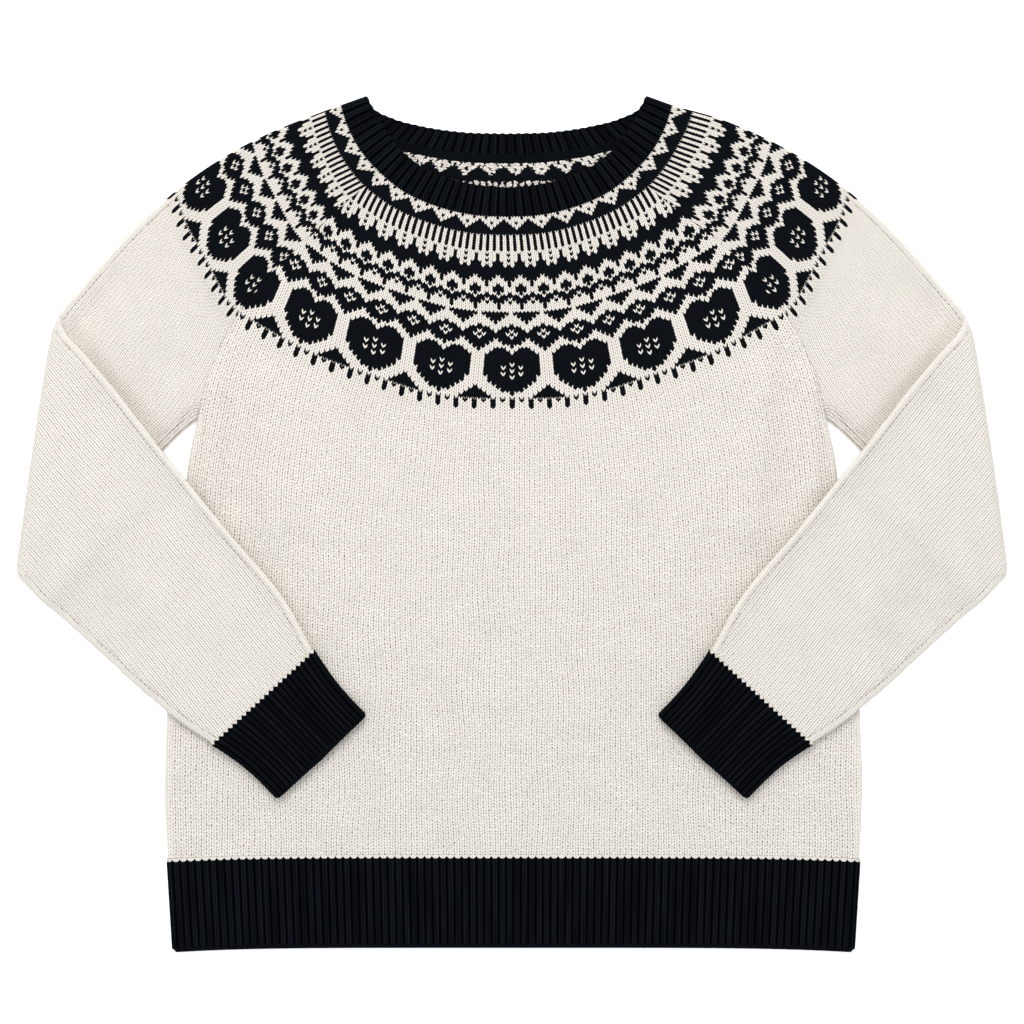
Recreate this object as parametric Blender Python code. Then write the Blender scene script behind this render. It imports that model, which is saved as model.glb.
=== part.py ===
"""A fair isle jumper laid flat, its sleeves folded at the elbows over the front.

Every piece is cloth of one wall thickness. The garment lies as two layers: the back
on the surface, the front above it, rolled into each other along the outline.
Each sleeve is a flat tube that turns over its elbow crease and lies on top.
Sizes are in millimetres and become metres when a mesh is made.
X is across the garment, Y runs from hem to neck, Z is up from the surface.
Left and right are the wearer's, so the left side is at +X.
"""

from collections import namedtuple

import bpy
import numpy as np

MM = 0.001

WALL = 2.0  # one layer of knitted cloth
LAYER_GAP = 2.0  # air between the two layers
SEAM_GAP = 0.3  # between neighbouring pieces
FLAT_HEIGHT = 2 * WALL + LAYER_GAP  # the two layers together
MID_HEIGHT = FLAT_HEIGHT / 2
ROLL_RADIUS = MID_HEIGHT  # how the layers turn into each other at an edge
FOLD_AXIS_HEIGHT = FLAT_HEIGHT + SEAM_GAP / 2  # the elbow folds about this line

NECKBAND_WIDTH = 21.0
NECK_LEAN = -4.0  # the neck lies this far off the centre line
NECK_LEAN_BELOW = 112.0  # the lean starts here and grows towards the neck
NECK_LEAN_FULL = 245.0
NECK_LEAN_INSIDE = 120.0  # full lean this near the centre line
NECK_LEAN_OUTSIDE = 153.0  # none beyond

FOREARM_DROP = 5.4  # how far a forearm sags to the surface beside the body
DROP_START = 15.0  # the sag begins this far from the arm and the body
DROP_REACH = 20.0

# x is the distance from the centre line, y the place between hem and neck
Point = namedtuple("Point", "x y")

NECK_CORNER = Point(x=103.0, y=312.5)
SHOULDER = Point(x=121.0, y=306.0)
UNDERARM = Point(x=230.0, y=76.0)
CREASE_TOP = Point(x=329.2, y=152.0)
CREASE_BOTTOM = Point(x=355.8, y=-42.8)
HEM_SEAM_SIDE = Point(x=252.5, y=-246.5)
HEM_SIDE = Point(x=248.5, y=-312.5)
CUFF_SEAM_TOP = Point(x=144.0, y=-94.0)
CUFF_SEAM_BOTTOM = Point(x=217.0, y=-162.0)
CUFF_END_TOP = Point(x=107.0, y=-139.0)
CUFF_END_BOTTOM = Point(x=171.0, y=-201.0)
CUFF_WAIST = 4.0  # how far the cuff's upper edge draws in
HEM_SEAM_MIDDLE = -243.5
HEM_MIDDLE = -309.5

OUTER_ARM = (
    SHOULDER,
    Point(x=152.0, y=296.0),
    Point(x=202.0, y=273.0),
    Point(x=238.0, y=249.5),
    Point(x=265.5, y=226.0),
    Point(x=309.0, y=179.5),
    Point(x=320.2, y=165.7),
    CREASE_TOP,
)
UNDER_ARM = (
    UNDERARM,
    Point(x=242.4, y=65.6),
    Point(x=253.8, y=54.2),
    CREASE_BOTTOM,
)
BODY_SIDE = (
    UNDERARM,
    Point(x=235.0, y=54.0),
    Point(x=239.5, y=20.0),
    Point(x=248.5, y=-70.0),
    Point(x=253.0, y=-145.0),
    Point(x=254.0, y=-205.0),
    HEM_SEAM_SIDE,
)
FRONT_RAGLAN = (
    UNDERARM,
    Point(x=226.5, y=90.0),
    Point(x=221.0, y=108.5),
    Point(x=212.0, y=132.0),
    Point(x=200.0, y=152.5),
    Point(x=92.5, y=256.5),
)
BACK_RAGLAN = (
    UNDERARM,
    Point(x=226.5, y=91.0),
    Point(x=221.5, y=112.0),
    Point(x=213.5, y=138.0),
    Point(x=203.0, y=158.0),
    Point(x=86.0, y=276.0),
)
FRONT_NECK_SEAM = (
    SHOULDER,
    Point(x=117.0, y=293.0),
    Point(x=107.5, y=274.0),
    FRONT_RAGLAN[-1],
    Point(x=75.0, y=242.5),
    Point(x=49.0, y=231.0),
    Point(x=21.5, y=225.0),
    Point(x=0.0, y=224.0),
)
FRONT_NECK_EDGE = (
    NECK_CORNER,
    Point(x=97.5, y=300.5),
    Point(x=87.0, y=284.0),
    Point(x=75.0, y=269.5),
    Point(x=63.0, y=260.5),
    Point(x=38.0, y=250.0),
    Point(x=21.0, y=246.5),
    Point(x=0.0, y=244.5),
)
BACK_NECK_SEAM = (
    SHOULDER,
    Point(x=116.0, y=294.0),
    Point(x=103.0, y=284.0),
    BACK_RAGLAN[-1],
    Point(x=60.0, y=269.0),
    Point(x=30.0, y=264.5),
    Point(x=0.0, y=263.5),
)
BACK_NECK_EDGE = (
    NECK_CORNER,
    Point(x=98.0, y=303.5),
    Point(x=84.0, y=296.0),
    Point(x=62.0, y=290.0),
    Point(x=31.0, y=285.5),
    Point(x=0.0, y=284.5),
)
FOREARM_UPPER = (
    CREASE_TOP,
    Point(x=325.5, y=141.5),
    Point(x=308.0, y=120.3),
    Point(x=283.0, y=90.2),
    Point(x=263.2, y=64.1),
    Point(x=238.2, y=33.3),
    Point(x=211.0, y=-0.6),
    Point(x=161.5, y=-61.5),
    CUFF_SEAM_TOP,
)
FOREARM_LOWER = (
    CREASE_BOTTOM,
    Point(x=347.1, y=-52.2),
    Point(x=323.8, y=-73.3),
    Point(x=300.4, y=-94.6),
    Point(x=277.0, y=-115.7),
    Point(x=259.5, y=-130.0),
    Point(x=236.0, y=-149.0),
    CUFF_SEAM_BOTTOM,
)

# soft folds of the front below the armholes, each a ridge between two points
Fold = namedtuple("Fold", "start end reach height")
FRONT_FOLDS = (
    Fold(start=Point(x=206.0, y=128.0), end=Point(x=221.0, y=44.0), reach=9.0, height=1.2),
    Fold(start=Point(x=188.0, y=104.0), end=Point(x=178.0, y=6.0), reach=13.0, height=1.4),
)

EDGE_STEPS = (0.0, 0.9, 3.2)  # grid lines that shape a rolled edge
CLOSE_LINES = len(EDGE_STEPS) - 1  # the extra grid lines at each such edge
SIDE_ROWS = 6
RAGLAN_ROWS = 9
PANEL_COLUMNS = 20
NECK_STEPS = (0.0, 0.47, 0.94, 0.985, 1.0)  # along the neck seam of a sleeve
SLEEVE_COLUMNS = CLOSE_LINES + RAGLAN_ROWS + len(NECK_STEPS)  # across one layer
ARM_ROWS = 6
FOREARM_ROWS = 7
CUFF_ROWS = 3
HEM_ROWS = 2
NECKBAND_ROWS = 2
CREASE_TURNS = 6
PATH_STEPS = 24  # between two named points of an outline
TINY = 1e-6  # a point this near a path lies on it
ON_EDGE = 0.5  # a grid point this near the outline belongs to a side seam
FOLD_FADE = 8.0  # folds die out this near the outline
FOLD_END_FADE = 0.25  # and over this share of their length at each end
HEM_DROOP_POWER = 5  # how closely the hem's droop keeps to the sides
SHARP_ANGLE = 0.9

# linear colour, roughness
CREAM_BODY = ((0.80, 0.76, 0.69), 0.95)
CREAM_SLEEVE = ((0.78, 0.73, 0.66), 0.95)
NAVY_RIB = ((0.006, 0.008, 0.014), 0.9)


def array(points):
    return np.array([[p.x, p.y] for p in points], dtype=float)


def run(path):
    """Length of the path up to each of its points."""
    steps = np.linalg.norm(np.diff(path, axis=0), axis=1)
    return np.concatenate([[0], np.cumsum(steps)])


def smooth(points):
    """A fine curve through the named points (cubic, tangents from the neighbours)."""
    p = array(points)
    at = run(p)
    length = np.diff(at)
    slope = np.diff(p, axis=0) / length[:, None]
    tangent = np.empty_like(p)
    tangent[0], tangent[-1] = slope[0], slope[-1]
    share = (length[:-1] / (length[:-1] + length[1:]))[:, None]
    tangent[1:-1] = slope[:-1] * (1 - share) + slope[1:] * share
    pieces = []
    for i in range(len(p) - 1):
        first = 0 if i == 0 else 1
        t = np.linspace(0, 1, PATH_STEPS + 1)[first:, None]
        reach = at[i + 1] - at[i]
        pieces.append(
            (2 * t**3 - 3 * t**2 + 1) * p[i]
            + (t**3 - 2 * t**2 + t) * reach * tangent[i]
            + (3 * t**2 - 2 * t**3) * p[i + 1]
            + (t**3 - t**2) * reach * tangent[i + 1]
        )
    return np.vstack(pieces)


def path_shares(path):
    """Where each point stands along its path, from 0 to 1."""
    return run(path) / run(path)[-1]


def along(path, shares):
    """Points at the given shares of a path's length."""
    at = path_shares(path)
    return np.stack([np.interp(shares, at, path[:, axis]) for axis in (0, 1)], axis=1)


def part_of(path, first, last):
    """The stretch of a path between its nearest points to two named points."""
    ends = []
    for point in (first, last):
        ends.append(int(np.argmin(np.hypot(path[:, 0] - point.x, path[:, 1] - point.y))))
    return path[ends[0] : ends[1] + 1]


def shift_sideways(path, distance):
    """The path moved to its left by a distance, seen along its direction."""
    heading = np.gradient(path, axis=0)
    heading /= np.linalg.norm(heading, axis=1, keepdims=True)
    return path + distance * np.stack([-heading[:, 1], heading[:, 0]], axis=1)


def across_tube(low, high):
    """Points from one edge of a flat tube to the other, closer at both rolled edges."""
    close = np.array(EDGE_STEPS) / np.linalg.norm(high - low)
    inner = np.linspace(close[-1], 1 - close[-1], SLEEVE_COLUMNS - 2 * CLOSE_LINES)
    shares = np.concatenate([close[:-1], inner, (1 - close[:-1])[::-1]])
    return low + shares[:, None] * (high - low)


def nearest_on(points, paths):
    """Distance of each point from the nearest path, and the direction away from it.

    On a path itself the direction is to the path's right, where the cloth is.
    """
    flat = points.reshape(-1, 2)
    best = np.full(len(flat), np.inf)
    away = np.zeros_like(flat)
    for path in paths:
        start, step = path[:-1], np.diff(path, axis=0)
        offset = flat[:, None] - start
        share = (offset * step).sum(-1) / np.maximum((step * step).sum(-1), TINY)
        offset = offset - np.clip(share, 0, 1)[..., None] * step
        length = np.linalg.norm(offset, axis=-1)
        piece = length.argmin(axis=1)
        row = np.arange(len(flat))
        length, offset, step = length[row, piece], offset[row, piece], step[piece]
        right = np.stack([step[:, 1], -step[:, 0]], axis=1)
        direction = np.where(length[:, None] > TINY, offset, right)
        direction /= np.linalg.norm(direction, axis=1, keepdims=True)
        closer = length < best - TINY
        best, away = np.where(closer, length, best), np.where(closer[:, None], direction, away)
    return best.reshape(points.shape[:-1]), away.reshape(points.shape)


def roll(distance):
    """Half the height of the two layers at a distance from the outline: a quarter circle."""
    inside = np.clip(1 - distance / ROLL_RADIUS, 0, 1)
    return ROLL_RADIUS * np.sqrt(1 - inside**2)


def coons(start, end, low, high, row_shares):
    """A grid between four boundary lines: start and end rows, low and high columns.

    row_shares places each row between start (0) and end (1).
    """
    u = row_shares[:, None, None]
    v = (1 - u) * path_shares(start)[None, :, None] + u * path_shares(end)[None, :, None]
    rows = (1 - u) * start[None] + u * end[None]
    columns = (1 - v) * low[:, None] + v * high[:, None]
    corners = (1 - u) * ((1 - v) * start[0] + v * start[-1])
    corners = corners + u * ((1 - v) * end[0] + v * end[-1])
    return rows + columns - corners


SLEEVE_OUTLINE = (smooth((NECK_CORNER, SHOULDER)), smooth(OUTER_ARM), smooth(UNDER_ARM)[::-1])
BODY_OUTLINE = (smooth(BODY_SIDE), smooth((HEM_SEAM_SIDE, HEM_SIDE)))
FOREARM_OUTLINE = (smooth(FOREARM_UPPER)[::-1], smooth(FOREARM_LOWER))


def outline_distance(points, paths=BODY_OUTLINE + SLEEVE_OUTLINE):
    """Distance from the outline of the unfolded garment, the same on both its sides."""
    sign = np.where(points[..., :1] < 0, [-1.0, 1.0], [1.0, 1.0])
    distance, away = nearest_on(points * sign, paths)
    return distance, away * sign


def smoothstep(value):
    t = np.clip(value, 0, 1)
    return t * t * (3 - 2 * t)


def fold_height(points):
    """The soft ridges of the front, each fading away from its line and to its ends."""
    x, y = np.abs(points[..., 0]), points[..., 1]
    height = np.zeros_like(x)
    for fold in FRONT_FOLDS:
        start, end = array((fold.start, fold.end))
        step = end - start
        share = ((x - start[0]) * step[0] + (y - start[1]) * step[1]) / (step @ step)
        across = np.hypot(x - start[0] - share * step[0], y - start[1] - share * step[1])
        fade = smoothstep(np.minimum(share, 1 - share) / FOLD_END_FADE + 0.5)
        height += fold.height * np.exp(-((across / fold.reach) ** 2)) * fade
    return height


def wall_faces(points, height, facing, inward):
    """Outer and inner face of a layer from its outer points and the way it faces.

    inward is the flat direction away from the outline, facing is 1 up or -1 down.
    Near the outline the wall turns from level to upright, as a quarter circle does.
    """
    distance, away = inward
    upright = np.clip(1 - distance / ROLL_RADIUS, 0, 1)
    level = np.sqrt(1 - upright**2)
    normal = np.concatenate([-away * upright[..., None], (facing * level)[..., None]], axis=-1)
    outer = np.concatenate([points, height[..., None]], axis=-1)
    return outer, outer - WALL * normal


def flat_layer(points, side, paths=BODY_OUTLINE + SLEEVE_OUTLINE):
    """The front (side 1) or the back (side -1) where it lies flat."""
    inward = outline_distance(points, paths)
    return wall_faces(points, MID_HEIGHT + side * roll(inward[0]), side, inward)


def forearm_drop(points):
    """How far the forearm sags: nothing over the arm and body, all beside them."""
    along_arm = array((CREASE_BOTTOM,))[0] - array((UNDERARM,))[0]
    along_arm /= np.linalg.norm(along_arm)
    x, y = points[..., 0], points[..., 1]
    below_arm = (x - UNDERARM.x) * along_arm[1] - (y - UNDERARM.y) * along_arm[0]
    side = smooth(BODY_SIDE)[::-1]
    beside_body = x - np.interp(y, side[:, 1], side[:, 0])
    first = np.maximum(below_arm - DROP_START, 0)
    second = np.maximum(beside_body - DROP_START, 0)
    free = first * second / (first + second + TINY)
    return FOREARM_DROP * smoothstep(free / DROP_REACH)


def lean(points):
    """The neck lies a little to one side, and the yoke around it follows."""
    x, y = points[..., 0], points[..., 1]
    up = smoothstep((y - NECK_LEAN_BELOW) / (NECK_LEAN_FULL - NECK_LEAN_BELOW))
    near = smoothstep((NECK_LEAN_OUTSIDE - np.abs(x)) / (NECK_LEAN_OUTSIDE - NECK_LEAN_INSIDE))
    leaning = points.copy()
    leaning[..., 0] += NECK_LEAN * up * near
    return leaning


def material(name, finish):
    colour, roughness = finish
    cloth = bpy.data.materials.get(name) or bpy.data.materials.new(name)
    cloth.use_nodes = True
    shader = cloth.node_tree.nodes["Principled BSDF"]
    shader.inputs["Base Color"].default_value = (*colour, 1.0)
    shader.inputs["Roughness"].default_value = roughness
    shader.inputs["Metallic"].default_value = 0.0
    return cloth


def cloth_piece(name, faces, finish, around=False, flip=False):
    """A closed wall of cloth between the grids of its outer and its inner face.

    around joins the last column to the first, for a tube. flip turns the faces over.
    """
    rows, columns = faces[0].shape[:2]
    index = np.arange(rows * columns).reshape(rows, columns)
    if around:
        index = np.concatenate([index, index[:, :1]], axis=1)
    under = index + rows * columns
    borders = [index[0], index[-1][::-1]]
    if not around:
        borders += [index[::-1, 0], index[:, -1]]
    quads = [
        (index[:-1, :-1], index[1:, :-1], index[1:, 1:], index[:-1, 1:]),
        (under[:-1, :-1], under[:-1, 1:], under[1:, 1:], under[1:, :-1]),
    ]
    for border in borders:
        below = border + rows * columns
        quads.append((border[:-1], border[1:], below[1:], below[:-1]))
    quads = np.concatenate([np.stack(quad, axis=-1).reshape(-1, 4) for quad in quads])
    if flip:
        quads = quads[:, ::-1]
    points = lean(np.concatenate([face.reshape(-1, 3) for face in faces])) * MM
    mesh = bpy.data.meshes.new(name)
    mesh.from_pydata(points.tolist(), [], quads.tolist())
    mesh.shade_smooth()
    piece = bpy.data.objects.new(name, mesh)
    bpy.context.scene.collection.objects.link(piece)
    mesh.materials.append(material(name, finish))
    mesh.set_sharp_from_angle(angle=SHARP_ANGLE)
    return piece


def mirrored(faces):
    return [face * np.array([-1.0, 1.0, 1.0]) for face in faces]


def raised(faces, height):
    """Both faces of a wall lifted by a height that may change from point to point."""
    return [face + np.multiply.outer(height, [0.0, 0.0, 1.0]) for face in faces]


def joined(*parts, axis):
    """Outer faces joined to outer faces and inner faces to inner faces."""
    return [np.concatenate([part[face] for part in parts], axis=axis) for face in (0, 1)]


def raglan_points(raglan):
    """Points up a raglan seam, the same for the panel and for the sleeve."""
    path = smooth(raglan)
    close = np.array(EDGE_STEPS) / run(path)[-1]
    shares = np.concatenate([close[:-1], np.linspace(close[-1], 1, RAGLAN_ROWS + 1)])
    return path, shares


def neck_seam_line(seam, raglan_top, offset):
    """Points along half a neck seam, moved off it; positive is away from the neck.

    The first stretch, up to the raglan seam, is the sleeve's, the rest the panel's.
    """
    path = smooth(seam)
    sleeve = along(part_of(path, seam[0], raglan_top), 1 - np.array(NECK_STEPS)[::-1])
    panel_shares = np.linspace(0, 1, PANEL_COLUMNS // 2 + 1)
    panel = along(part_of(path, raglan_top, seam[-1]), panel_shares)
    line = shift_sideways(np.vstack([sleeve[:-1], panel]), offset)
    line[-1, 0] = 0.0
    return line


def panel_half(raglan, neck_seam):
    """One half of a front or back panel, from the side to the centre line, hem to neck."""
    path, shares = raglan_points(raglan)
    seam = along(shift_sideways(path, SEAM_GAP / 2), shares)
    side = along(smooth(BODY_SIDE)[::-1], np.linspace(0, 1, SIDE_ROWS + 1))
    low = np.vstack([side[:-1], seam])
    neck = neck_seam_line(neck_seam, raglan[-1], SEAM_GAP / 2)[len(NECK_STEPS) - 1 :]
    hem = hem_line(HEM_SEAM_SIDE, HEM_SEAM_MIDDLE)
    hem[:, 1] += SEAM_GAP / 2
    neck[0] += low[-1] - path[-1]
    low[0], low[-1] = hem[0], neck[0]
    share = (low[:, 1] - low[0, 1]) / (low[-1, 1] - low[0, 1])
    middle = hem[-1, 1] + share * (neck[-1, 1] - hem[-1, 1])
    high = np.stack([np.zeros_like(share), middle], axis=1)
    return coons(hem, neck, low, high, share)


def hem_line(side, middle):
    """Half the hem seam or hem edge, from the side in, a little lower at the side."""
    close = np.array(EDGE_STEPS) / side.x
    inner = np.linspace(close[-1], 1, PANEL_COLUMNS // 2 - 1)
    share = 1 - np.concatenate([close[:-1], inner])
    droop = (side.y - middle) * share**HEM_DROOP_POWER
    return np.stack([side.x * share, middle + droop], axis=1)


def whole(half):
    """A full-width grid from its half, left to right."""
    other = half * np.array([-1.0, 1.0])
    return np.concatenate([other, half[:, -2::-1]], axis=1)


def build_panel(name, raglan, neck_seam, side):
    points = whole(panel_half(raglan, neck_seam))
    faces = flat_layer(points, side)
    distance = outline_distance(points)[0]
    lift = side * SEAM_GAP / 2 * (distance < ON_EDGE)
    if side > 0:
        lift = lift + fold_height(points) * smoothstep(distance / FOLD_FADE)
    return cloth_piece(name, raised(faces, lift), CREAM_BODY, flip=side > 0)


def build_hem(name, side):
    top = hem_line(HEM_SEAM_SIDE, HEM_SEAM_MIDDLE)
    top[:, 1] -= SEAM_GAP / 2
    bottom = hem_line(HEM_SIDE, HEM_MIDDLE)
    share = np.linspace(0, 1, HEM_ROWS + 1)[:, None, None]
    points = whole(bottom + share * (top - bottom))
    faces = flat_layer(points, side, BODY_OUTLINE)
    lift = side * SEAM_GAP / 2 * (outline_distance(points)[0] < ON_EDGE)
    return cloth_piece(name, raised(faces, lift), NAVY_RIB, flip=side > 0)


def build_neckband():
    """A ring: the front half on top, the back half below, turning at the corners."""
    halves = []
    for seam, edge, raglan, side in (
        (FRONT_NECK_SEAM, FRONT_NECK_EDGE, FRONT_RAGLAN, 1),
        (BACK_NECK_SEAM, BACK_NECK_EDGE, BACK_RAGLAN, -1),
    ):
        outer = neck_seam_line(seam, raglan[-1], -SEAM_GAP / 2)
        outer[0] = along(smooth((SHOULDER, NECK_CORNER)), [SEAM_GAP / NECKBAND_WIDTH])[0]
        inner = along(smooth(edge), path_shares(outer))
        share = np.linspace(0, 1, NECKBAND_ROWS + 1)[:, None, None]
        points = outer + share * (inner - outer)
        halves.append(flat_layer(whole(points), side, SLEEVE_OUTLINE[:1]))
    return cloth_piece("neckband", around(*halves), NAVY_RIB, around=True, flip=True)


def around(front, back):
    """A tube's rings from its two layers, which share their edge columns."""
    return joined(front, [face[:, -2:0:-1] for face in back], axis=1)


def crease_frame():
    """The crease from its lower end up, and its normal away from the body."""
    bottom, top = array((CREASE_BOTTOM, CREASE_TOP))
    direction = (top - bottom) / np.linalg.norm(top - bottom)
    return across_tube(bottom, top), np.array([direction[1], -direction[0]])


def upper_arm():
    """Front and back layer points of the sleeve from the raglan seams to the crease."""
    line = crease_frame()[0]
    row_shares = np.linspace(0, 1, ARM_ROWS + 1)
    low = along(smooth(UNDER_ARM), row_shares)
    high = along(smooth(OUTER_ARM), row_shares)
    layers = []
    for raglan, seam in ((FRONT_RAGLAN, FRONT_NECK_SEAM), (BACK_RAGLAN, BACK_NECK_SEAM)):
        path, shares = raglan_points(raglan)
        start = along(shift_sideways(path, -SEAM_GAP / 2), shares)
        neck = neck_seam_line(seam, raglan[-1], SEAM_GAP / 2)[: len(NECK_STEPS)][::-1]
        neck[0] += start[-1] - path[-1]
        start = np.vstack([start[:-1], neck])
        start[0], start[-1] = low[0], high[0]
        layers.append(coons(start, line, low, high, row_shares))
    return layers


def forearm():
    """Points of the forearm from the crease to the cuff, the same for both layers."""
    row_shares = np.linspace(0, 1, FOREARM_ROWS + 1)
    low = along(smooth(FOREARM_LOWER), row_shares)
    high = along(smooth(FOREARM_UPPER), row_shares)
    cuff = cuff_seam(-SEAM_GAP / 2)
    low[-1], high[-1] = cuff[0], cuff[-1]
    return coons(crease_frame()[0], cuff, low, high, row_shares)


def cuff_seam(offset):
    """The line between forearm and cuff, moved along the arm by an offset."""
    bottom, top = array((CUFF_SEAM_BOTTOM, CUFF_SEAM_TOP))
    end_bottom, end_top = array((CUFF_END_BOTTOM, CUFF_END_TOP))
    heading = (end_bottom + end_top - bottom - top) / 2
    heading /= np.linalg.norm(heading)
    return across_tube(bottom, top) + heading * offset


def folded_layer(points, side, paths):
    """A layer after the fold: side 1 now lies below, side -1 on top."""
    inward = nearest_on(points, paths)
    height = 2 * FOLD_AXIS_HEIGHT - MID_HEIGHT - side * roll(inward[0])
    return wall_faces(points, height - forearm_drop(points), -side, inward)


def turn_over(side):
    """The rings that carry one layer round the crease, between its two flat ends."""
    line, normal = crease_frame()
    before = nearest_on(line, SLEEVE_OUTLINE)[0]
    after = nearest_on(line, FOREARM_OUTLINE)[0]
    ends = np.sign(np.linspace(-1, 1, len(line)))[:, None]
    along_crease = ends * np.array([-normal[1], normal[0]])
    outer_rings, inner_rings = [], []
    for turn in np.linspace(0, 1, CREASE_TURNS + 1)[1:-1]:
        distance = before + turn * (after - before)
        upright = np.clip(1 - distance / ROLL_RADIUS, 0, 1)[:, None]
        level = side * np.sqrt(1 - upright**2)
        radius = FOLD_AXIS_HEIGHT - MID_HEIGHT - side * roll(distance)
        angle = np.pi * turn
        flat = line + normal * (radius * np.sin(angle))[:, None]
        outer = np.column_stack([flat, FOLD_AXIS_HEIGHT - radius * np.cos(angle)])
        level_way = np.append(-normal * np.sin(angle), np.cos(angle))
        upright_way = np.column_stack([along_crease, np.zeros(len(line))])
        outer_rings.append(outer)
        inner_rings.append(outer - WALL * (level * level_way + upright * upright_way))
    return np.array(outer_rings), np.array(inner_rings)


def build_sleeve(name, mirror):
    fore = forearm()
    tubes = []
    for arm, side in zip(upper_arm(), (1, -1)):
        flat = flat_layer(arm, side, SLEEVE_OUTLINE + BODY_OUTLINE)
        folded = folded_layer(fore, side, FOREARM_OUTLINE)
        tubes.append(joined(flat, turn_over(side), folded, axis=0))
    faces = around(*tubes)
    if mirror:
        faces = mirrored(faces)
    return cloth_piece(name, faces, CREAM_SLEEVE, around=True, flip=mirror)


def build_cuff(name, mirror):
    start = cuff_seam(SEAM_GAP / 2)
    end = across_tube(*array((CUFF_END_BOTTOM, CUFF_END_TOP)))
    down = np.linspace(0, 1, CUFF_ROWS + 1)
    draw_in = CUFF_WAIST * np.sin(np.pi * down)
    inward = start[0] - start[-1]
    inward /= np.linalg.norm(inward)
    low = start[0] + down[:, None] * (end[0] - start[0])
    high = start[-1] + down[:, None] * (end[-1] - start[-1]) + draw_in[:, None] * inward
    points = coons(start, end, low, high, down)
    outline = (high[::-1], low)
    faces = around(folded_layer(points, 1, outline), folded_layer(points, -1, outline))
    if mirror:
        faces = mirrored(faces)
    return cloth_piece(name, faces, NAVY_RIB, around=True, flip=mirror)


def main():
    for old in list(bpy.data.objects):
        bpy.data.objects.remove(old, do_unlink=True)
    build_panel("front", FRONT_RAGLAN, FRONT_NECK_SEAM, 1)
    build_panel("back", BACK_RAGLAN, BACK_NECK_SEAM, -1)
    build_hem("hem_front", 1)
    build_hem("hem_back", -1)
    build_neckband()
    for side, mirror in (("left", False), ("right", True)):
        build_sleeve(f"sleeve_{side}", mirror)
        build_cuff(f"cuff_{side}", mirror)


main()
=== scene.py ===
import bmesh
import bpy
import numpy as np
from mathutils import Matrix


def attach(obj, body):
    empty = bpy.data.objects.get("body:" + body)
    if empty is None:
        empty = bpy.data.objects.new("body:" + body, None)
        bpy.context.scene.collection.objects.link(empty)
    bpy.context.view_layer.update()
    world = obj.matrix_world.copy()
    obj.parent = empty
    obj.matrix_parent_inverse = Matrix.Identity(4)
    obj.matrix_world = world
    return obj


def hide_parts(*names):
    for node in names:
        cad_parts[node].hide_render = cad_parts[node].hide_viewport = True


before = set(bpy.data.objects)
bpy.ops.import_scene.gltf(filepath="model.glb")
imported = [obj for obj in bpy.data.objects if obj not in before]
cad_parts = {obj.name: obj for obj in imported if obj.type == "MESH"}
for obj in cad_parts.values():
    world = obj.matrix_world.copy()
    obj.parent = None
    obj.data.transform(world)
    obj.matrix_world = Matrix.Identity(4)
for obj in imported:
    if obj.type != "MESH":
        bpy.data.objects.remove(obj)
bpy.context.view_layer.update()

# A fair isle jumper laid flat, with both sleeves folded over its front.
# Each CAD solid gets a finer knitted shell of the same form. The tables hold millimetres,
# x from the centre line and y from hem to neck, and the mesh maker turns them into metres.

mm = 0.001

cloth = {
    "wall": 2.0,
    "layers": 6.0,  # front and back together, with the air between them
    "rollRadius": 3.0,  # how the two layers turn into each other at an edge
    "edgeFade": 8.0,  # creases fade out over this distance from an edge
    "seamGap": 0.08,  # half the gap between neighbouring pieces
    "seamGroove": (0.25, 0.9),  # depth and half width
    "foldHeight": 6.15,  # the sleeve turns over about a line this high
    "leanReach": -4.0,  # the neck lies this far off the centre line
    "leanRows": (112.0, 245.0),  # from no lean to full lean
    "leanSides": (153.0, 120.0),
    "swayReach": 1.1,  # the lower body and the hem lie this far to the other side
    "swayRows": (-40.0, -140.0),
    "edgeLines": 6,  # grid lines over a rolled edge
    "stitchedLines": [3.7, 4.2, 4.7, 5.2, 5.8, 7.4, 9.6, 12.4],  # more beside a sleeve's, for its stitching
    "pathSteps": 24,
    "roundSteps": 4,  # lines between the two faces on a rib's round end
    "sharpAngle": 1.1,
}
middleHeight = cloth["layers"] / 2
edgeSteps = cloth["rollRadius"] * (1 - np.cos(np.linspace(0, np.pi / 2, cloth["edgeLines"])))
sleeveSteps = np.concatenate([edgeSteps, cloth["stitchedLines"]])

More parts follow.
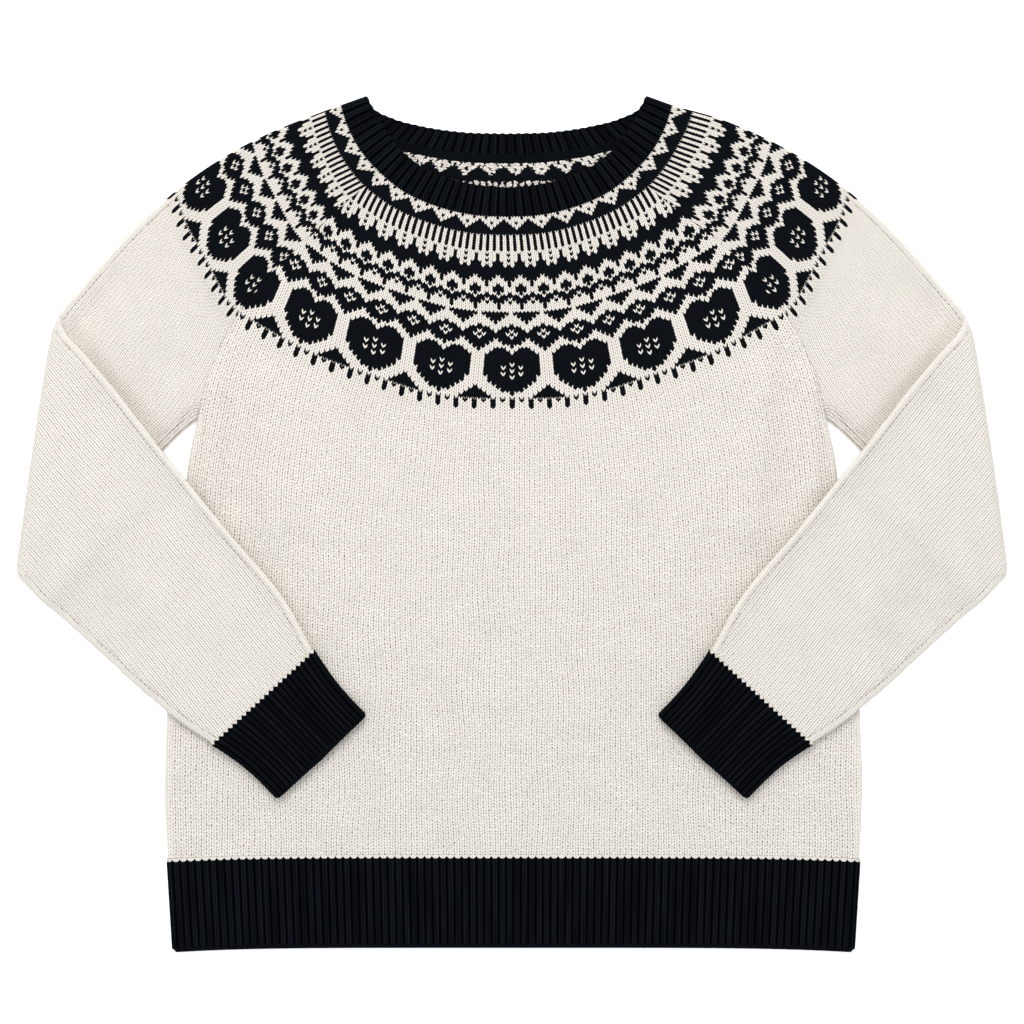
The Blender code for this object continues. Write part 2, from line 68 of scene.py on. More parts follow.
outline = {
    "neckCorner": [(103, 312.5)],
    "shoulder": [(121, 306)],
    "outerArm": [(121, 306), (152, 296), (202, 273), (238, 249.5), (265.5, 226), (309, 179.5), (316.2, 170.9),
                 (323.4, 163), (328, 157), (330.5, 153)],
    "underArm": [(230, 76), (242.4, 65.6), (253.8, 54.2), (355.8, -42.8)],
    "bodySide": [(230, 76), (235, 54), (239.5, 20), (248.8, -70), (253.7, -145), (254.8, -205),
                 (252.9, -244.8)],
    "hemSide": [(252.9, -244.8), (248.7, -312.3)],
    "hemMiddles": [(0, -241.8), (0, -309)],
    "frontRaglan": [(230, 76), (226.5, 90), (221, 108.5), (212, 132), (200, 152.5), (92.5, 256.5)],
    "backRaglan": [(230, 76), (226.5, 91), (221.5, 112), (213.5, 138), (203, 158), (86, 276)],
    "frontNeckSeam": [(121, 306), (117, 293), (107.5, 274), (92.5, 256.5), (75, 242.5), (49, 231),
                      (21.5, 225), (0, 224)],
    "frontNeckEdge": [(103, 312.5), (97.5, 300.5), (87, 284), (75, 269.5), (63, 260.5), (38, 250),
                      (21, 246.5), (0, 244.5)],
    "backNeckSeam": [(121, 306), (116, 294), (103, 284), (86, 276), (60, 269), (30, 264.5), (0, 263.5)],
    "backNeckEdge": [(103, 312.5), (98, 303.5), (84, 296), (62, 290), (31, 285.5), (0, 284.5)],
    "forearmUpper": [(330.5, 153), (329.4, 148), (325.9, 140.5), (308, 120.3), (283, 90.2), (263.2, 64.1),
                     (238.2, 33.3), (211, -0.6), (161.5, -61.5), (145.1, -92)],
    "forearmLower": [(355.8, -42.8), (347.1, -52.2), (323.8, -73.3), (300.4, -94.6), (277, -115.7),
                     (259.5, -130), (238, -147.3), (219, -159.8)],
    "cuffEnd": [(171.2, -201.4), (105.4, -139.6)],
    # the last row of the coloured yoke, on each panel and on each face of a sleeve
    "frontYokeEnd": [(203.5, 147), (198.2, 144.2), (149.8, 118), (96.7, 98.9), (70, 90.3), (40, 85.2),
                     (0, 84.2)],
    "backYokeEnd": [(190.3, 170.8), (182, 165.5), (146, 146.5), (98, 133.5), (60, 128), (0, 126)],
    "frontSleeveYokeEnd": [(203.5, 147), (209.9, 154), (219.4, 170.1), (230, 190.9), (242.4, 212.1),
                           (251.1, 237.3)],
    "backSleeveYokeEnd": [(190.3, 170.8), (202, 180), (216, 192), (230, 206), (243, 221), (251.1, 237.3)],
}
outline = {name: np.array(points, dtype=float) for name, points in outline.items()}


def unit(vectors):
    return vectors / np.linalg.norm(vectors, axis=-1, keepdims=True)


def runLength(path):
    # the length covered up to each point of a path
    return np.concatenate([[0], np.cumsum(np.linalg.norm(np.diff(path, axis=0), axis=1))])


def smoothPath(p):
    # a cubic between each two points; a tangent is the mean of the slopes beside it, the nearer weighing more
    length = np.diff(runLength(p))[:, None]
    slope = np.diff(p, axis=0) / length
    share = length[:-1] / (length[:-1] + length[1:])
    tangent = np.concatenate([slope[:1], slope[:-1] * (1 - share) + slope[1:] * share, slope[-1:]])
    t = np.linspace(0, 1, cloth["pathSteps"], endpoint=False)[None, :, None]
    bow = (2 * t**3 - 3 * t**2 + 1) * p[:-1, None] + (3 * t**2 - 2 * t**3) * p[1:, None]
    pull = (t**3 - 2 * t**2 + t) * tangent[:-1, None] + (t**3 - t**2) * tangent[1:, None]
    return np.concatenate([(bow + pull * length[:, None]).reshape(-1, 2), p[-1:]])


curve = {name: smoothPath(points) for name, points in outline.items() if len(points) > 1}
curve["neckCornerLine"] = np.concatenate([outline["neckCorner"], outline["shoulder"]])
bodyEdges = [curve["bodySide"], curve["hemSide"]]
sleeveEdges = [curve["neckCornerLine"], curve["outerArm"], curve["underArm"][::-1]]
forearmEdges = [curve["forearmUpper"][::-1], curve["forearmLower"]]


def along(path, shares):
    # points at the given shares of a path's length
    at = runLength(path)
    return np.stack([np.interp(shares, at / at[-1], path[:, axis]) for axis in (0, 1)], axis=-1)


def sideways(path, distance):
    # the path moved to its left
    heading = unit(np.gradient(path, axis=0))
    return path + distance * np.stack([-heading[:, 1], heading[:, 0]], axis=1)


def stretch(path, first, last):
    # the part of a path between its nearest points to two places
    ends = [int(np.argmin(np.hypot(*(path - place).T))) for place in (first, last)]
    return path[ends[0]:ends[1] + 1]


def patch(start, end, low, high, u, v):
    # Coons patch: start and end blended by u, plus low and high by v, less the four corners blended by both
    u, v = u[:, None, None], v[..., None]
    rows = (1 - u) * along(start, v[..., 0]) + u * along(end, v[..., 0])
    columns = (1 - v) * low[:, None] + v * high[:, None]
    corners = (1 - u) * ((1 - v) * start[0] + v * start[-1]) + u * ((1 - v) * end[0] + v * end[-1])
    return rows + columns - corners


def edgedPatch(start, end, low, high, u, count, steps=edgeSteps, both=False):
    # a patch whose columns lie at absolute steps from the low edge, or from both, and evenly over the rest
    close = steps / np.linalg.norm(low - high, axis=1)[:, None]
    last = 1 - close[:, -1:] if both else np.ones_like(close[:, -1:])
    inner = close[:, -1:] + (last - close[:, -1:]) * np.linspace(0, 1, count)[1:]
    far = 1 - close[:, -2::-1] if both else close[:, :0]
    return patch(start, end, low, high, u, np.concatenate([close, inner, far], axis=1))


def nearestOn(points, paths):
    # distance from the nearest path and the direction away from it, which on the path itself is to its right
    flat = points.reshape(-1, 2)
    best, away = np.full(len(flat), np.inf), np.zeros_like(flat)
    for path in paths:
        start, step = path[:-1], np.diff(path, axis=0)
        offset = flat[:, None] - start
        share = (offset * step).sum(-1) / np.maximum((step * step).sum(-1), 1e-9)
        offset -= np.clip(share, 0, 1)[..., None] * step
        length = np.linalg.norm(offset, axis=-1)
        piece = length.argmin(axis=1)
        row = np.arange(len(flat))
        length, offset, step = length[row, piece], offset[row, piece], step[piece]
        right = np.stack([step[:, 1], -step[:, 0]], axis=1)
        direction = unit(np.where(length[:, None] > 1e-6, offset, right))
        closer = length < best - 1e-6
        best, away = np.where(closer, length, best), np.where(closer[:, None], direction, away)
    return best.reshape(points.shape[:-1]), away.reshape(points.shape)


def onBothSides(points, paths):
    # the same for paths that are mirrored on the other side of the centre line
    sign = np.where(points[..., :1] < 0, [-1.0, 1.0], [1.0, 1.0])
    distance, away = nearestOn(points * sign, paths)
    return distance, away * sign


def distanceAlong(points, axis):
    # length covered along grid lines
    steps = np.linalg.norm(np.diff(points, axis=axis), axis=-1)
    return np.insert(np.cumsum(steps, axis=axis), 0, 0, axis=axis)


def smoothstep(value):
    t = np.clip(value, 0, 1)
    return t * t * (3 - 2 * t)


def fadeBetween(value, ends):
    # 0 at the first end, 1 at the last
    return smoothstep((value - ends[0]) / (ends[1] - ends[0]))


def inland(distance):
    # 0 on an edge, 1 where creases are free
    return smoothstep(distance / cloth["edgeFade"])


def roll(distance):
    # half the height of the two layers near an edge: a quarter circle
    return cloth["rollRadius"] * np.sqrt(1 - np.clip(1 - distance / cloth["rollRadius"], 0, 1) ** 2)


def wallFaces(points, height, facing, inward, relief=0.0, inside=0.0):
    # outer face at a height, inner face one wall below it along the normal; relief raises the outer face and
    # inside thickens the wall
    distance, away = inward
    upright = np.clip(1 - distance / cloth["rollRadius"], 0, 1)
    level = np.sqrt(1 - upright**2)
    normal = np.concatenate([-away * upright[..., None], (facing * level)[..., None]], axis=-1)
    face = np.concatenate([points, height[..., None]], axis=-1)
    outer = face + np.asarray(relief)[..., None] * normal
    inner = face - (cloth["wall"] + np.asarray(inside))[..., None] * normal
    return outer, inner


def laidFaces(points, side, inward, relief, raised=0.0, inside=0.0):
    # a layer that lies flat: the front (side 1) over the middle height, the back (side -1) under it
    height = middleHeight + side * roll(inward[0]) + raised
    return wallFaces(points, height, side, inward, relief, inside)


def seamRelief(distance, fade):
    # the groove along a seam: a bell across it
    depth, reach = cloth["seamGroove"]
    return -depth * np.exp(-((distance / reach) ** 2)) * fade


def creaseHeight(points, creases):
    # soft ridges and troughs: each is a bell across its line, which fades at both ends
    total = np.zeros(points.shape[:-1])
    for start, end, reach, height in creases:
        step = np.subtract(end, start)
        offset = points - np.array(start)
        share = (offset @ step) / (step @ step)
        across = (offset[..., 0] * step[1] - offset[..., 1] * step[0]) / np.linalg.norm(step)
        fade = smoothstep(np.minimum(share, 1 - share) / 0.25 + 0.5)
        total += height * np.exp(-((across / reach) ** 2)) * fade
    return total


def ripple(points, amount, size, phase):
    # a faint unevenness: six sine waves that run in different directions
    x, y = points[..., 0] / size, points[..., 1] / size
    waves = [np.sin(x * np.cos(a) + y * np.sin(a) + phase * a) for a in (0.3, 1.1, 1.9, 2.6, 3.9, 5.2)]
    return amount * sum(waves) / 6


def lean(points):
    # the neck and the yoke around it lie a little to one side
    up = fadeBetween(points[:, 1], cloth["leanRows"])
    near = fadeBetween(np.abs(points[:, 0]), cloth["leanSides"])
    points[:, 0] += cloth["leanReach"] * up * near
    return points


def sway(face):
    # the lower body lies to the other side, more from row to row
    face[..., 0] += cloth["swayReach"] * fadeBetween(face[..., 1], cloth["swayRows"])
    return face


def addObject(name, data):
    made = bpy.data.objects.new(name, data)
    bpy.context.scene.collection.objects.link(made)
    return made


def borderLines(index, side, lowRows):
    # the grid points along one border and their neighbours inside, in the order that faces the strip outwards
    lines = {
        "start": (index[0], index[1]),
        "end": (index[-1][::-1], index[-2][::-1]),
        "low": (index[:lowRows, 0][::-1], index[:lowRows, 1][::-1]),
        "high": (index[:, -1], index[:, -2]),
    }
    return lines[side]


def makeShell(name, sheets, finish, mirror=False, lowRows=None):
    # Each sheet is a grid of outer points and one of inner points, with its knit and edge maps and its open
    # borders. Quads join the neighbours in a grid, strips join the two grids along open borders, bulging by a
    # half circle where the border is round, and equal points of neighbouring sheets are merged.
    points, quads, places, inner = [], [], [], []
    count = 0

    def addQuads(corners, place, isInner, flip):
        order = slice(None, None, -1) if flip else slice(None)
        quads.append(corners.reshape(-1, 4)[:, order])
        places.append(place.reshape(-1, 4, 4)[:, order])
        inner.append(np.full(corners.size // 4, float(isInner)))

    def gridQuads(grid):
        return np.stack([grid[:-1, :-1], grid[1:, :-1], grid[1:, 1:], grid[:-1, 1:]], axis=2)

    for (outer, under), knit, edge, borders in sheets:
        place = np.concatenate([knit, edge], axis=-1)
        index = count + np.arange(outer.size // 3).reshape(outer.shape[:2])
        below = index + index.size
        count += 2 * index.size
        flatOuter, flatUnder, flatPlace = outer.reshape(-1, 3), under.reshape(-1, 3), place.reshape(-1, 4)
        points += [flatOuter, flatUnder]
        rowWay, columnWay = np.diff(outer, axis=0)[:, :-1], np.diff(outer, axis=1)[:-1]
        facing = (np.cross(rowWay, columnWay) * (outer - under)[:-1, :-1]).sum()
        flip = (facing < 0) != mirror
        addQuads(gridQuads(index), gridQuads(place), 0, flip)
        addQuads(gridQuads(below), gridQuads(place), 1, not flip)
        for side, isRound in borders.items():
            line, beside = borderLines(index - index[0, 0], side, lowRows)
            top, low = flatOuter[line], flatUnder[line]
            lines = [line + index[0, 0]]
            if isRound:
                out = unit(top - flatOuter[beside])
                half = np.linalg.norm(top - low, axis=1, keepdims=True) / 2
                for turn in np.linspace(0, np.pi, cloth["roundSteps"] + 2)[1:-1]:
                    middle = (top + low) / 2
                    points.append(middle + (top - low) / 2 * np.cos(turn) + out * half * np.sin(turn))
                    lines.append(count + np.arange(len(line)))
                    count += len(line)
            lines.append(line + below[0, 0])
            spot = flatPlace[line]
            spot = np.stack([spot[:-1], spot[1:], spot[1:], spot[:-1]], axis=1)
            for a, b in zip(lines[:-1], lines[1:]):
                addQuads(np.stack([a[:-1], a[1:], b[1:], b[:-1]], axis=1), spot, 0, flip)
            if isRound and "low" in borders:  # the open ends of a round border are closed by two quads each
                for end, turned in ((0, False), (-1, True)):
                    rim = [line[end] for line in lines]
                    cap = np.array([[rim[0], rim[1], rim[4], rim[5]], [rim[1], rim[2], rim[3], rim[4]]])
                    addQuads(cap, spot[[end, end]], 0, flip != turned)
    where = lean(np.concatenate(points) * np.array([-1.0 if mirror else 1.0, 1.0, 1.0])) * mm
    mesh = bpy.data.meshes.new(name)
    mesh.from_pydata(where.tolist(), [], np.concatenate(quads).tolist())
    corner = np.concatenate(places).reshape(-1, 4).astype(np.float32)
    for layer, pair in (("knit", corner[:, :2]), ("edge", corner[:, 2:])):
        mesh.uv_layers.new(name=layer).uv.foreach_set("vector", np.ascontiguousarray(pair).ravel())
    inner = np.concatenate(inner).astype(np.float32)
    mesh.attributes.new("inner", "FLOAT", "FACE").data.foreach_set("value", inner)
    shape = bmesh.new()
    shape.from_mesh(mesh)
    bmesh.ops.remove_doubles(shape, verts=shape.verts, dist=1e-6)
    bmesh.ops.dissolve_degenerate(shape, edges=shape.edges, dist=1e-7)
    shape.to_mesh(mesh)
    shape.free()
    mesh.shade_smooth()
    mesh.set_sharp_from_angle(angle=cloth["sharpAngle"])
    mesh.materials.append(finish)
    piece = addObject(name, mesh)
    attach(piece, "root")
    return piece


class Wire:
    # an output of a shader node; arithmetic and comparisons with it add Math nodes
    def __init__(self, add, socket):
        self.add, self.socket = add, socket


def mathMethod(operation, swapped):
    def method(self, other):
        values = {0: other, 1: self} if swapped else {0: self, 1: other}
        return self.add("ShaderNodeMath", values, operation=operation)

    return method


for symbol, operation in (("add", "ADD"), ("sub", "SUBTRACT"), ("mul", "MULTIPLY"), ("truediv", "DIVIDE"),
                          ("pow", "POWER"), ("gt", "GREATER_THAN"), ("lt", "LESS_THAN")):
    setattr(Wire, f"__{symbol}__", mathMethod(operation, False))
    setattr(Wire, f"__r{symbol}__", mathMethod(operation, True))


def nodeTools(tree):
    # add() makes a node and returns its first output, the one named, or with None all of them by name;
    # calc() is one Math node
    def add(kind, inputs=None, output=0, **settings):
        node = tree.nodes.new(kind)
        node.location = (200 * len(tree.nodes), 0)
        for key, value in settings.items():
            setattr(node, key, value)
        for key, value in (inputs or {}).items():
            if isinstance(value, Wire):
                tree.links.new(value.socket, node.inputs[key])
            else:
                node.inputs[key].default_value = value
        if output is None:
            return {socket.name: Wire(add, socket) for socket in node.outputs}
        return Wire(add, node.outputs[output])

    def calc(operation, *values):
        return add("ShaderNodeMath", dict(enumerate(values)), operation=operation)

    return add, calc


def mixColour(factor, first, second):
    return factor.add("ShaderNodeMix", {0: factor, 6: first, 7: second}, output=2, data_type="RGBA")


def band(value, low, high):
    # 0 below low, 1 above high, smooth between
    inputs = {"Value": value, "From Min": low, "From Max": high}
    return value.add("ShaderNodeMapRange", inputs, interpolation_type="SMOOTHSTEP")


def separate(vector):
    return vector.add("ShaderNodeSeparateXYZ", {"Vector": vector}, output=None)


def byVector(first, operation, second):
    return first.add("ShaderNodeVectorMath", {0: first, 1: second}, operation=operation)


def noise(place, scale, detail, output=0):
    return place.add("ShaderNodeTexNoise", {"Vector": place, "Scale": scale, "Detail": detail}, output=output)


def shaderGroup(name, inputs, build, kind="Float"):
    # a group whose inputs are floats, colours where the value is a tuple, and a vector where there is none;
    # build() makes the nodes from them and returns the outputs by name
    group = bpy.data.node_groups.new(name, "ShaderNodeTree")
    kinds = {float: "Float", tuple: "Color", type(None): "Vector"}
    for label, value in inputs.items():
        socketKind = "NodeSocket" + kinds[type(value)]
        socket = group.interface.new_socket(label, in_out="INPUT", socket_type=socketKind)
        if value is not None:
            socket.default_value = value
    add, calc = nodeTools(group)
    outputs = build(add("NodeGroupInput", output=None), add, calc)
    for label in outputs:
        group.interface.new_socket(label, in_out="OUTPUT", socket_type="NodeSocket" + kind)
    add("NodeGroupOutput", outputs, output=None)
    return group


# one letter is one stitch, # navy and . cream; a row runs from the middle of a motif to halfway to the next
yokeBands = [
    {"repeat": 8, "middle": 3, "rows": "..#.. ....# #..## ..### .####"},
    {"repeat": 1, "middle": 0, "rows": "# #"},
    {"repeat": 2, "middle": 0, "rows": "#. #. #. #. #. #."},
    {"repeat": 6, "middle": 0, "rows": ".... #..# ...# #..# ..## #.##"},
    {"repeat": 1, "middle": 0, "rows": "# # #"},
    {"repeat": 6, "middle": 3, "rows": ".### ..## ...# #..# ##.. ##.. #..# .### ###. ##.# #... #... ...."},
    {"repeat": 8, "middle": 0, "rows": ".#### ..### ...## ....# #.... ###.. .###. #.### .#### ####. ###.."},
    {"repeat": 16, "middle": 0, "rows": "#......## ..###...# .#####... #######.. #######.. #######.. "
                                        ".######.. ##.####.. .######.. ##.####.. .#####... ######... "
                                        "#####.... ####....# ###....## #.....### .....####"},
    {"repeat": 8, "middle": 0, "rows": "#.#.# #...# #...#"},
]
yokeRows = [(row, motif["repeat"], motif["middle"]) for motif in yokeBands for row in motif["rows"].split()]
looseRows = 3  # the last rows, of loose navy stitches
rampStops = 32  # the most that one colour ramp takes


def yokeChart(given, add, calc):
    # A ramp stop holds one chart row: its stitches as the binary digits of a number, its repeat and its
    # middle. The distance from the nearest motif's middle picks the digit. Above the first row is the seam.
    rowPlace = (given["Row"] + 0.5) / rampStops
    found = None
    for chunk in range(0, len(yokeRows), rampStops):
        code = add("ShaderNodeValToRGB", {"Fac": rowPlace - chunk // rampStops})
        ramp = code.socket.node.color_ramp
        ramp.interpolation = "CONSTANT"
        ramp.elements.remove(ramp.elements[-1])
        for stop, (row, repeat, middle) in enumerate(yokeRows[chunk:chunk + rampStops]):
            digits = sum(2.0 ** -(place + 1) for place, stitch in enumerate(row) if stitch == "#")
            part = ramp.elements[0] if stop == 0 else ramp.elements.new(stop / rampStops)
            part.color = (digits + 2.0**-12, repeat / rampStops, middle / rampStops, 1)
        found = code if found is None else mixColour(given["Row"] > chunk - 0.5, found, code)
    parts = add("ShaderNodeSeparateColor", {"Color": found}, output=None)
    repeat = parts["Green"] * rampStops
    turn = (given["Column"] - parts["Blue"] * rampStops) / repeat
    turn = calc("ABSOLUTE", turn - calc("FLOOR", turn + 0.5))
    place = calc("FLOOR", turn * repeat + 0.25)
    digit = calc("MODULO", calc("FLOOR", parts["Red"] * 2.0 ** (place + 1.0)), 2.0)
    inYoke = given["Row"] < len(yokeRows) - 0.5
    return {"Dark": calc("MAXIMUM", digit * inYoke, given["Row"] < -0.5)}


def stitchLoop(given, add, calc):
    # Stocking stitch: each stitch is a V of two legs, found by shifting the rows down at the middle of a
    # wale.
    # Relief is high along the middle of a leg; where the legs part, shade is painted into the colour, more
    # between wales and as dark as Depth sets. Between is 1 where a leg ends and the yarn of the next row may
    # show, Flare where the wider top of the next column's leg may.
    drift = byVector(noise(given["Place"], 0.9, 2.0, "Color"), "SUBTRACT", (0.5, 0.5, 0.5))
    wavers = add("ShaderNodeCombineXYZ", {"X": given["Waver"], "Y": given["Row Waver"]})
    parts = separate(byVector(given["Place"], "ADD", byVector(drift, "MULTIPLY", wavers)))
    column = calc("FLOOR", parts["X"] + 0.5)
    offset = parts["X"] - column
    across = calc("ABSOLUTE", offset)
    lowered = parts["Y"] - given["Slope"] * (0.5 - across * 2.0)
    row = calc("FLOOR", lowered)
    down = lowered - row - 0.5
    legX = (across - 0.25) / given["Leg"]
    legY = down / given["Reach"]
    off = calc("SQRT", legX * legX + legY * legY)
    outer = 0.62 + band(across, 0.2, 0.45) * 0.38
    return {
        "Column": column, "Row": row,
        "Next Row": row + calc("SIGN", down), "Between": calc("ABSOLUTE", down) > 0.36,
        "Next Column": column + calc("SIGN", offset),
        "Flare": across + (0.55 - down) * given["Flaring"] > 0.5,
        "Relief": 1.0 - calc("MINIMUM", off * off, 1.6),
        # where the legs part: the mask of the painted shade, stronger between wales
        "Gap": band(off, 0.72, 1.0) * outer * given["Depth"],
    }


def yarnColour(given, add, calc):
    # cream or navy yarn with shade painted into the gaps between its legs, a little uneven from stitch to
    # stitch and from place to place
    light = 0.83 + (noise(given["Place"], 1.7, 3.0) * 0.2 + noise(given["Place"], 0.14, 3.0) * 0.12)
    cream = mixColour(given["Gap"], given["Cream"], given["Cream Gap"])
    navy = mixColour(given["Gap"], given["Navy"], given["Navy Gap"])
    colour = mixColour(given["Dark"], cream, navy)
    return {"Colour": add("ShaderNodeVectorMath", {0: colour, "Scale": light}, operation="SCALE")}


chartGroup = shaderGroup("yokeChart", {"Column": 0.0, "Row": 0.0}, yokeChart)
loopGroup = shaderGroup("stitchLoop", {"Place": None, "Slope": 0.55, "Waver": 0.3, "Row Waver": 0.3,
                                       "Leg": 0.3, "Reach": 0.65, "Depth": 1.0, "Flaring": 0.05}, stitchLoop)
yarnGroup = shaderGroup("yarnColour", {"Place": None, "Dark": 0.0, "Gap": 0.0, "Cream": (0.8, 0.76, 0.7, 1),
                                       "Cream Gap": (0.4, 0.35, 0.3, 1), "Navy": (0.006, 0.008, 0.013, 1),
                                       "Navy Gap": (0.001, 0.001, 0.002, 1)}, yarnColour, "Color")
print("knit shader groups built")

yarns = {
    "cream": (0.684, 0.628, 0.551, 1),
    # the gap colours are shade painted where the legs of a stitch part
    "creamGap": (0.094, 0.050, 0.034, 1),
    "navy": (0.0035, 0.0044, 0.0062, 1),
    "navyGap": (0.0005, 0.0007, 0.001, 1),
    # the ribs' navy, seen only in their painted highlight lines
    "ribNavy": (0.0078, 0.0105, 0.0144, 1),
    "roughness": 0.92,
    "shine": 0.02,
    "bump": 0.0008,
    "bumpStrength": 0.6,
    "yokeSlope": 0.82,  # how far a V reaches down, in rows: more where the colours change
    "plainSlope": 0.5,
    "yokeDepth": 0.9,  # how dark the painted shade in the gaps is
    "waver": 0.26,  # how far a stitch strays, in stitches
    "plainWaver": 0.12,  # more where the knit is plain
    "strandWaver": 2.4,  # and on the wrong side
    # leg and reach give a leg's shape, depth how dark the painted shade in its gaps is
    "body": {"leg": 0.275, "reach": 0.6, "depth": 0.76, "rowWaver": 1.5},
    "sleeve": {"leg": 0.255, "reach": 0.72, "depth": 0.70, "rowWaver": 1.1},
    "stitching": ((5.3, 0.42), (3.7, 0.4)),  # distance from the edge and half width of each stitched line, painted as a shaded groove
    "holePitch": 3.9,  # of the holes along the outer line, painted dark as shade
    "crowdPitch": 2.3,  # of the wales that crowd together beside the under arm edge, with shade painted between them
    "crowdReach": (6.0, 15.0),
    "rim": 4.4,  # the rolled rim has half the painted shade in its gaps, so it looks smoother than the rest
    "underArmMark": 1000.0,  # what the edge map's length has more under the arm
    "bodyMark": -1.0,  # and its value along the body, which has no stitching
    "yokeMark": 100.0,  # what its distance has more over the yoke, which has none either
}


def setInputs(node, values):
    for label, value in values.items():
        node.inputs[label].default_value = value


def clothMaterial(name, build, *values):
    # build() returns the place in the knit, what is navy, the painted shade in the gaps, the relief and the
    # navy's colour
    material = bpy.data.materials.new(name)
    material.use_nodes = True
    tree = material.node_tree
    add, calc = nodeTools(tree)
    place, dark, gap, relief, navy = build(add, calc, *values)
    shader = tree.nodes["Principled BSDF"]
    setInputs(shader, {"Roughness": yarns["roughness"], "Specular IOR Level": yarns["shine"]})
    colour = add("ShaderNodeGroup", {
        "Place": place, "Dark": dark, "Gap": gap, "Cream": yarns["cream"], "Cream Gap": yarns["creamGap"],
        "Navy": navy, "Navy Gap": yarns["navyGap"],
    }, node_tree=yarnGroup)
    bump = {"Height": relief, "Strength": yarns["bumpStrength"], "Distance": yarns["bump"]}
    for label, wire in (("Base Color", colour), ("Normal", add("ShaderNodeBump", bump))):
        tree.links.new(wire.socket, shader.inputs[label])
    return material


def plainKnit(add, calc, knit):
    # stocking stitch with the yoke's chart; the inner face shows the strands behind it
    spot = add("ShaderNodeUVMap", uv_map="knit")
    inner = add("ShaderNodeAttribute", output="Fac", attribute_name="inner")
    down = separate(spot)["Y"]
    firstLoose = len(yokeRows) - looseRows
    plain = band(down, len(yokeRows), len(yokeRows) + 4.0)
    loose = band(down, firstLoose - 0.5, firstLoose)
    slope = yarns["yokeSlope"] - plain * (yarns["yokeSlope"] - yarns["plainSlope"])
    loop = add("ShaderNodeGroup", {
        "Place": spot, "Slope": (1.0 - inner) * slope, "Leg": knit["leg"], "Reach": knit["reach"],
        "Waver": yarns["waver"] + plain * yarns["plainWaver"] + inner * yarns["strandWaver"],
        "Row Waver": yarns["waver"] + plain * knit["rowWaver"] + inner * yarns["strandWaver"],
        "Depth": yarns["yokeDepth"] - plain * (yarns["yokeDepth"] - knit["depth"]),
        "Flaring": 0.06 + loose * 0.09,
    }, output=None, node_tree=loopGroup)
    dark, below, beside = [
        add("ShaderNodeGroup", {"Column": loop[column], "Row": loop[row]}, node_tree=chartGroup)
        for column, row in (("Column", "Row"), ("Column", "Next Row"), ("Next Column", "Row"))
    ]
    flaring = loop["Row"] > firstLoose - 0.5  # navy in the loose rows, cream above them
    flare = loop["Flare"] * calc("COMPARE", beside, flaring, 0.5)
    dark = calc("MAXIMUM", dark, below * loop["Between"])
    # a loose stitch keeps its cream top
    top = calc("COMPARE", loop["Row"] + loop["Next Row"], 2.0 * firstLoose - 1.0, 0.5)
    top = top * calc("COMPARE", loop["Row"], firstLoose, 0.5)
    dark = dark * (1.0 - top * loop["Between"])
    dark = dark * (1.0 - flare) + flaring * flare
    edgeMap = add("ShaderNodeUVMap", uv_map="edge")
    edge = separate(edgeMap)
    uneven = band(noise(byVector(edgeMap, "MULTIPLY", (0.11, 0.3, 0.0)), 1.0, 2.0), 0.35, 0.6)
    # stitched lines by a sleeve's edges, their holes and the crowded wales under the arm: shade painted in
    # grooves
    lines = [(edge["Y"] - place) / half for place, half in yarns["stitching"]]
    lines = [2.7 ** (line * line * -1.0) for line in lines]
    holes = calc("ABSOLUTE", calc("SINE", edge["X"] * (np.pi / yarns["holePitch"]))) ** 3.0
    groove = lines[0] * (0.12 + holes * uneven * 0.75) + lines[1] * 0.14
    groove = groove * (edge["X"] > yarns["bodyMark"] / 2)
    crowded = calc("ABSOLUTE", calc("SINE", edge["Y"] * (np.pi / yarns["crowdPitch"]))) ** 5.0
    crowded = crowded * (1.0 - band(edge["Y"], *yarns["crowdReach"]))
    crowded = crowded * (edge["X"] > yarns["underArmMark"] * 0.9)
    groove = calc("MAXIMUM", groove, crowded * (0.2 + uneven * 0.45))
    # the painted shade: the gaps between legs, half as dark on the rim, or the grooves where these are darker
    gap = calc("MAXIMUM", loop["Gap"] * (1.0 - (edge["Y"] < yarns["rim"]) * 0.5), groove)
    return spot, dark, gap, loop["Relief"] - groove, yarns["navy"]


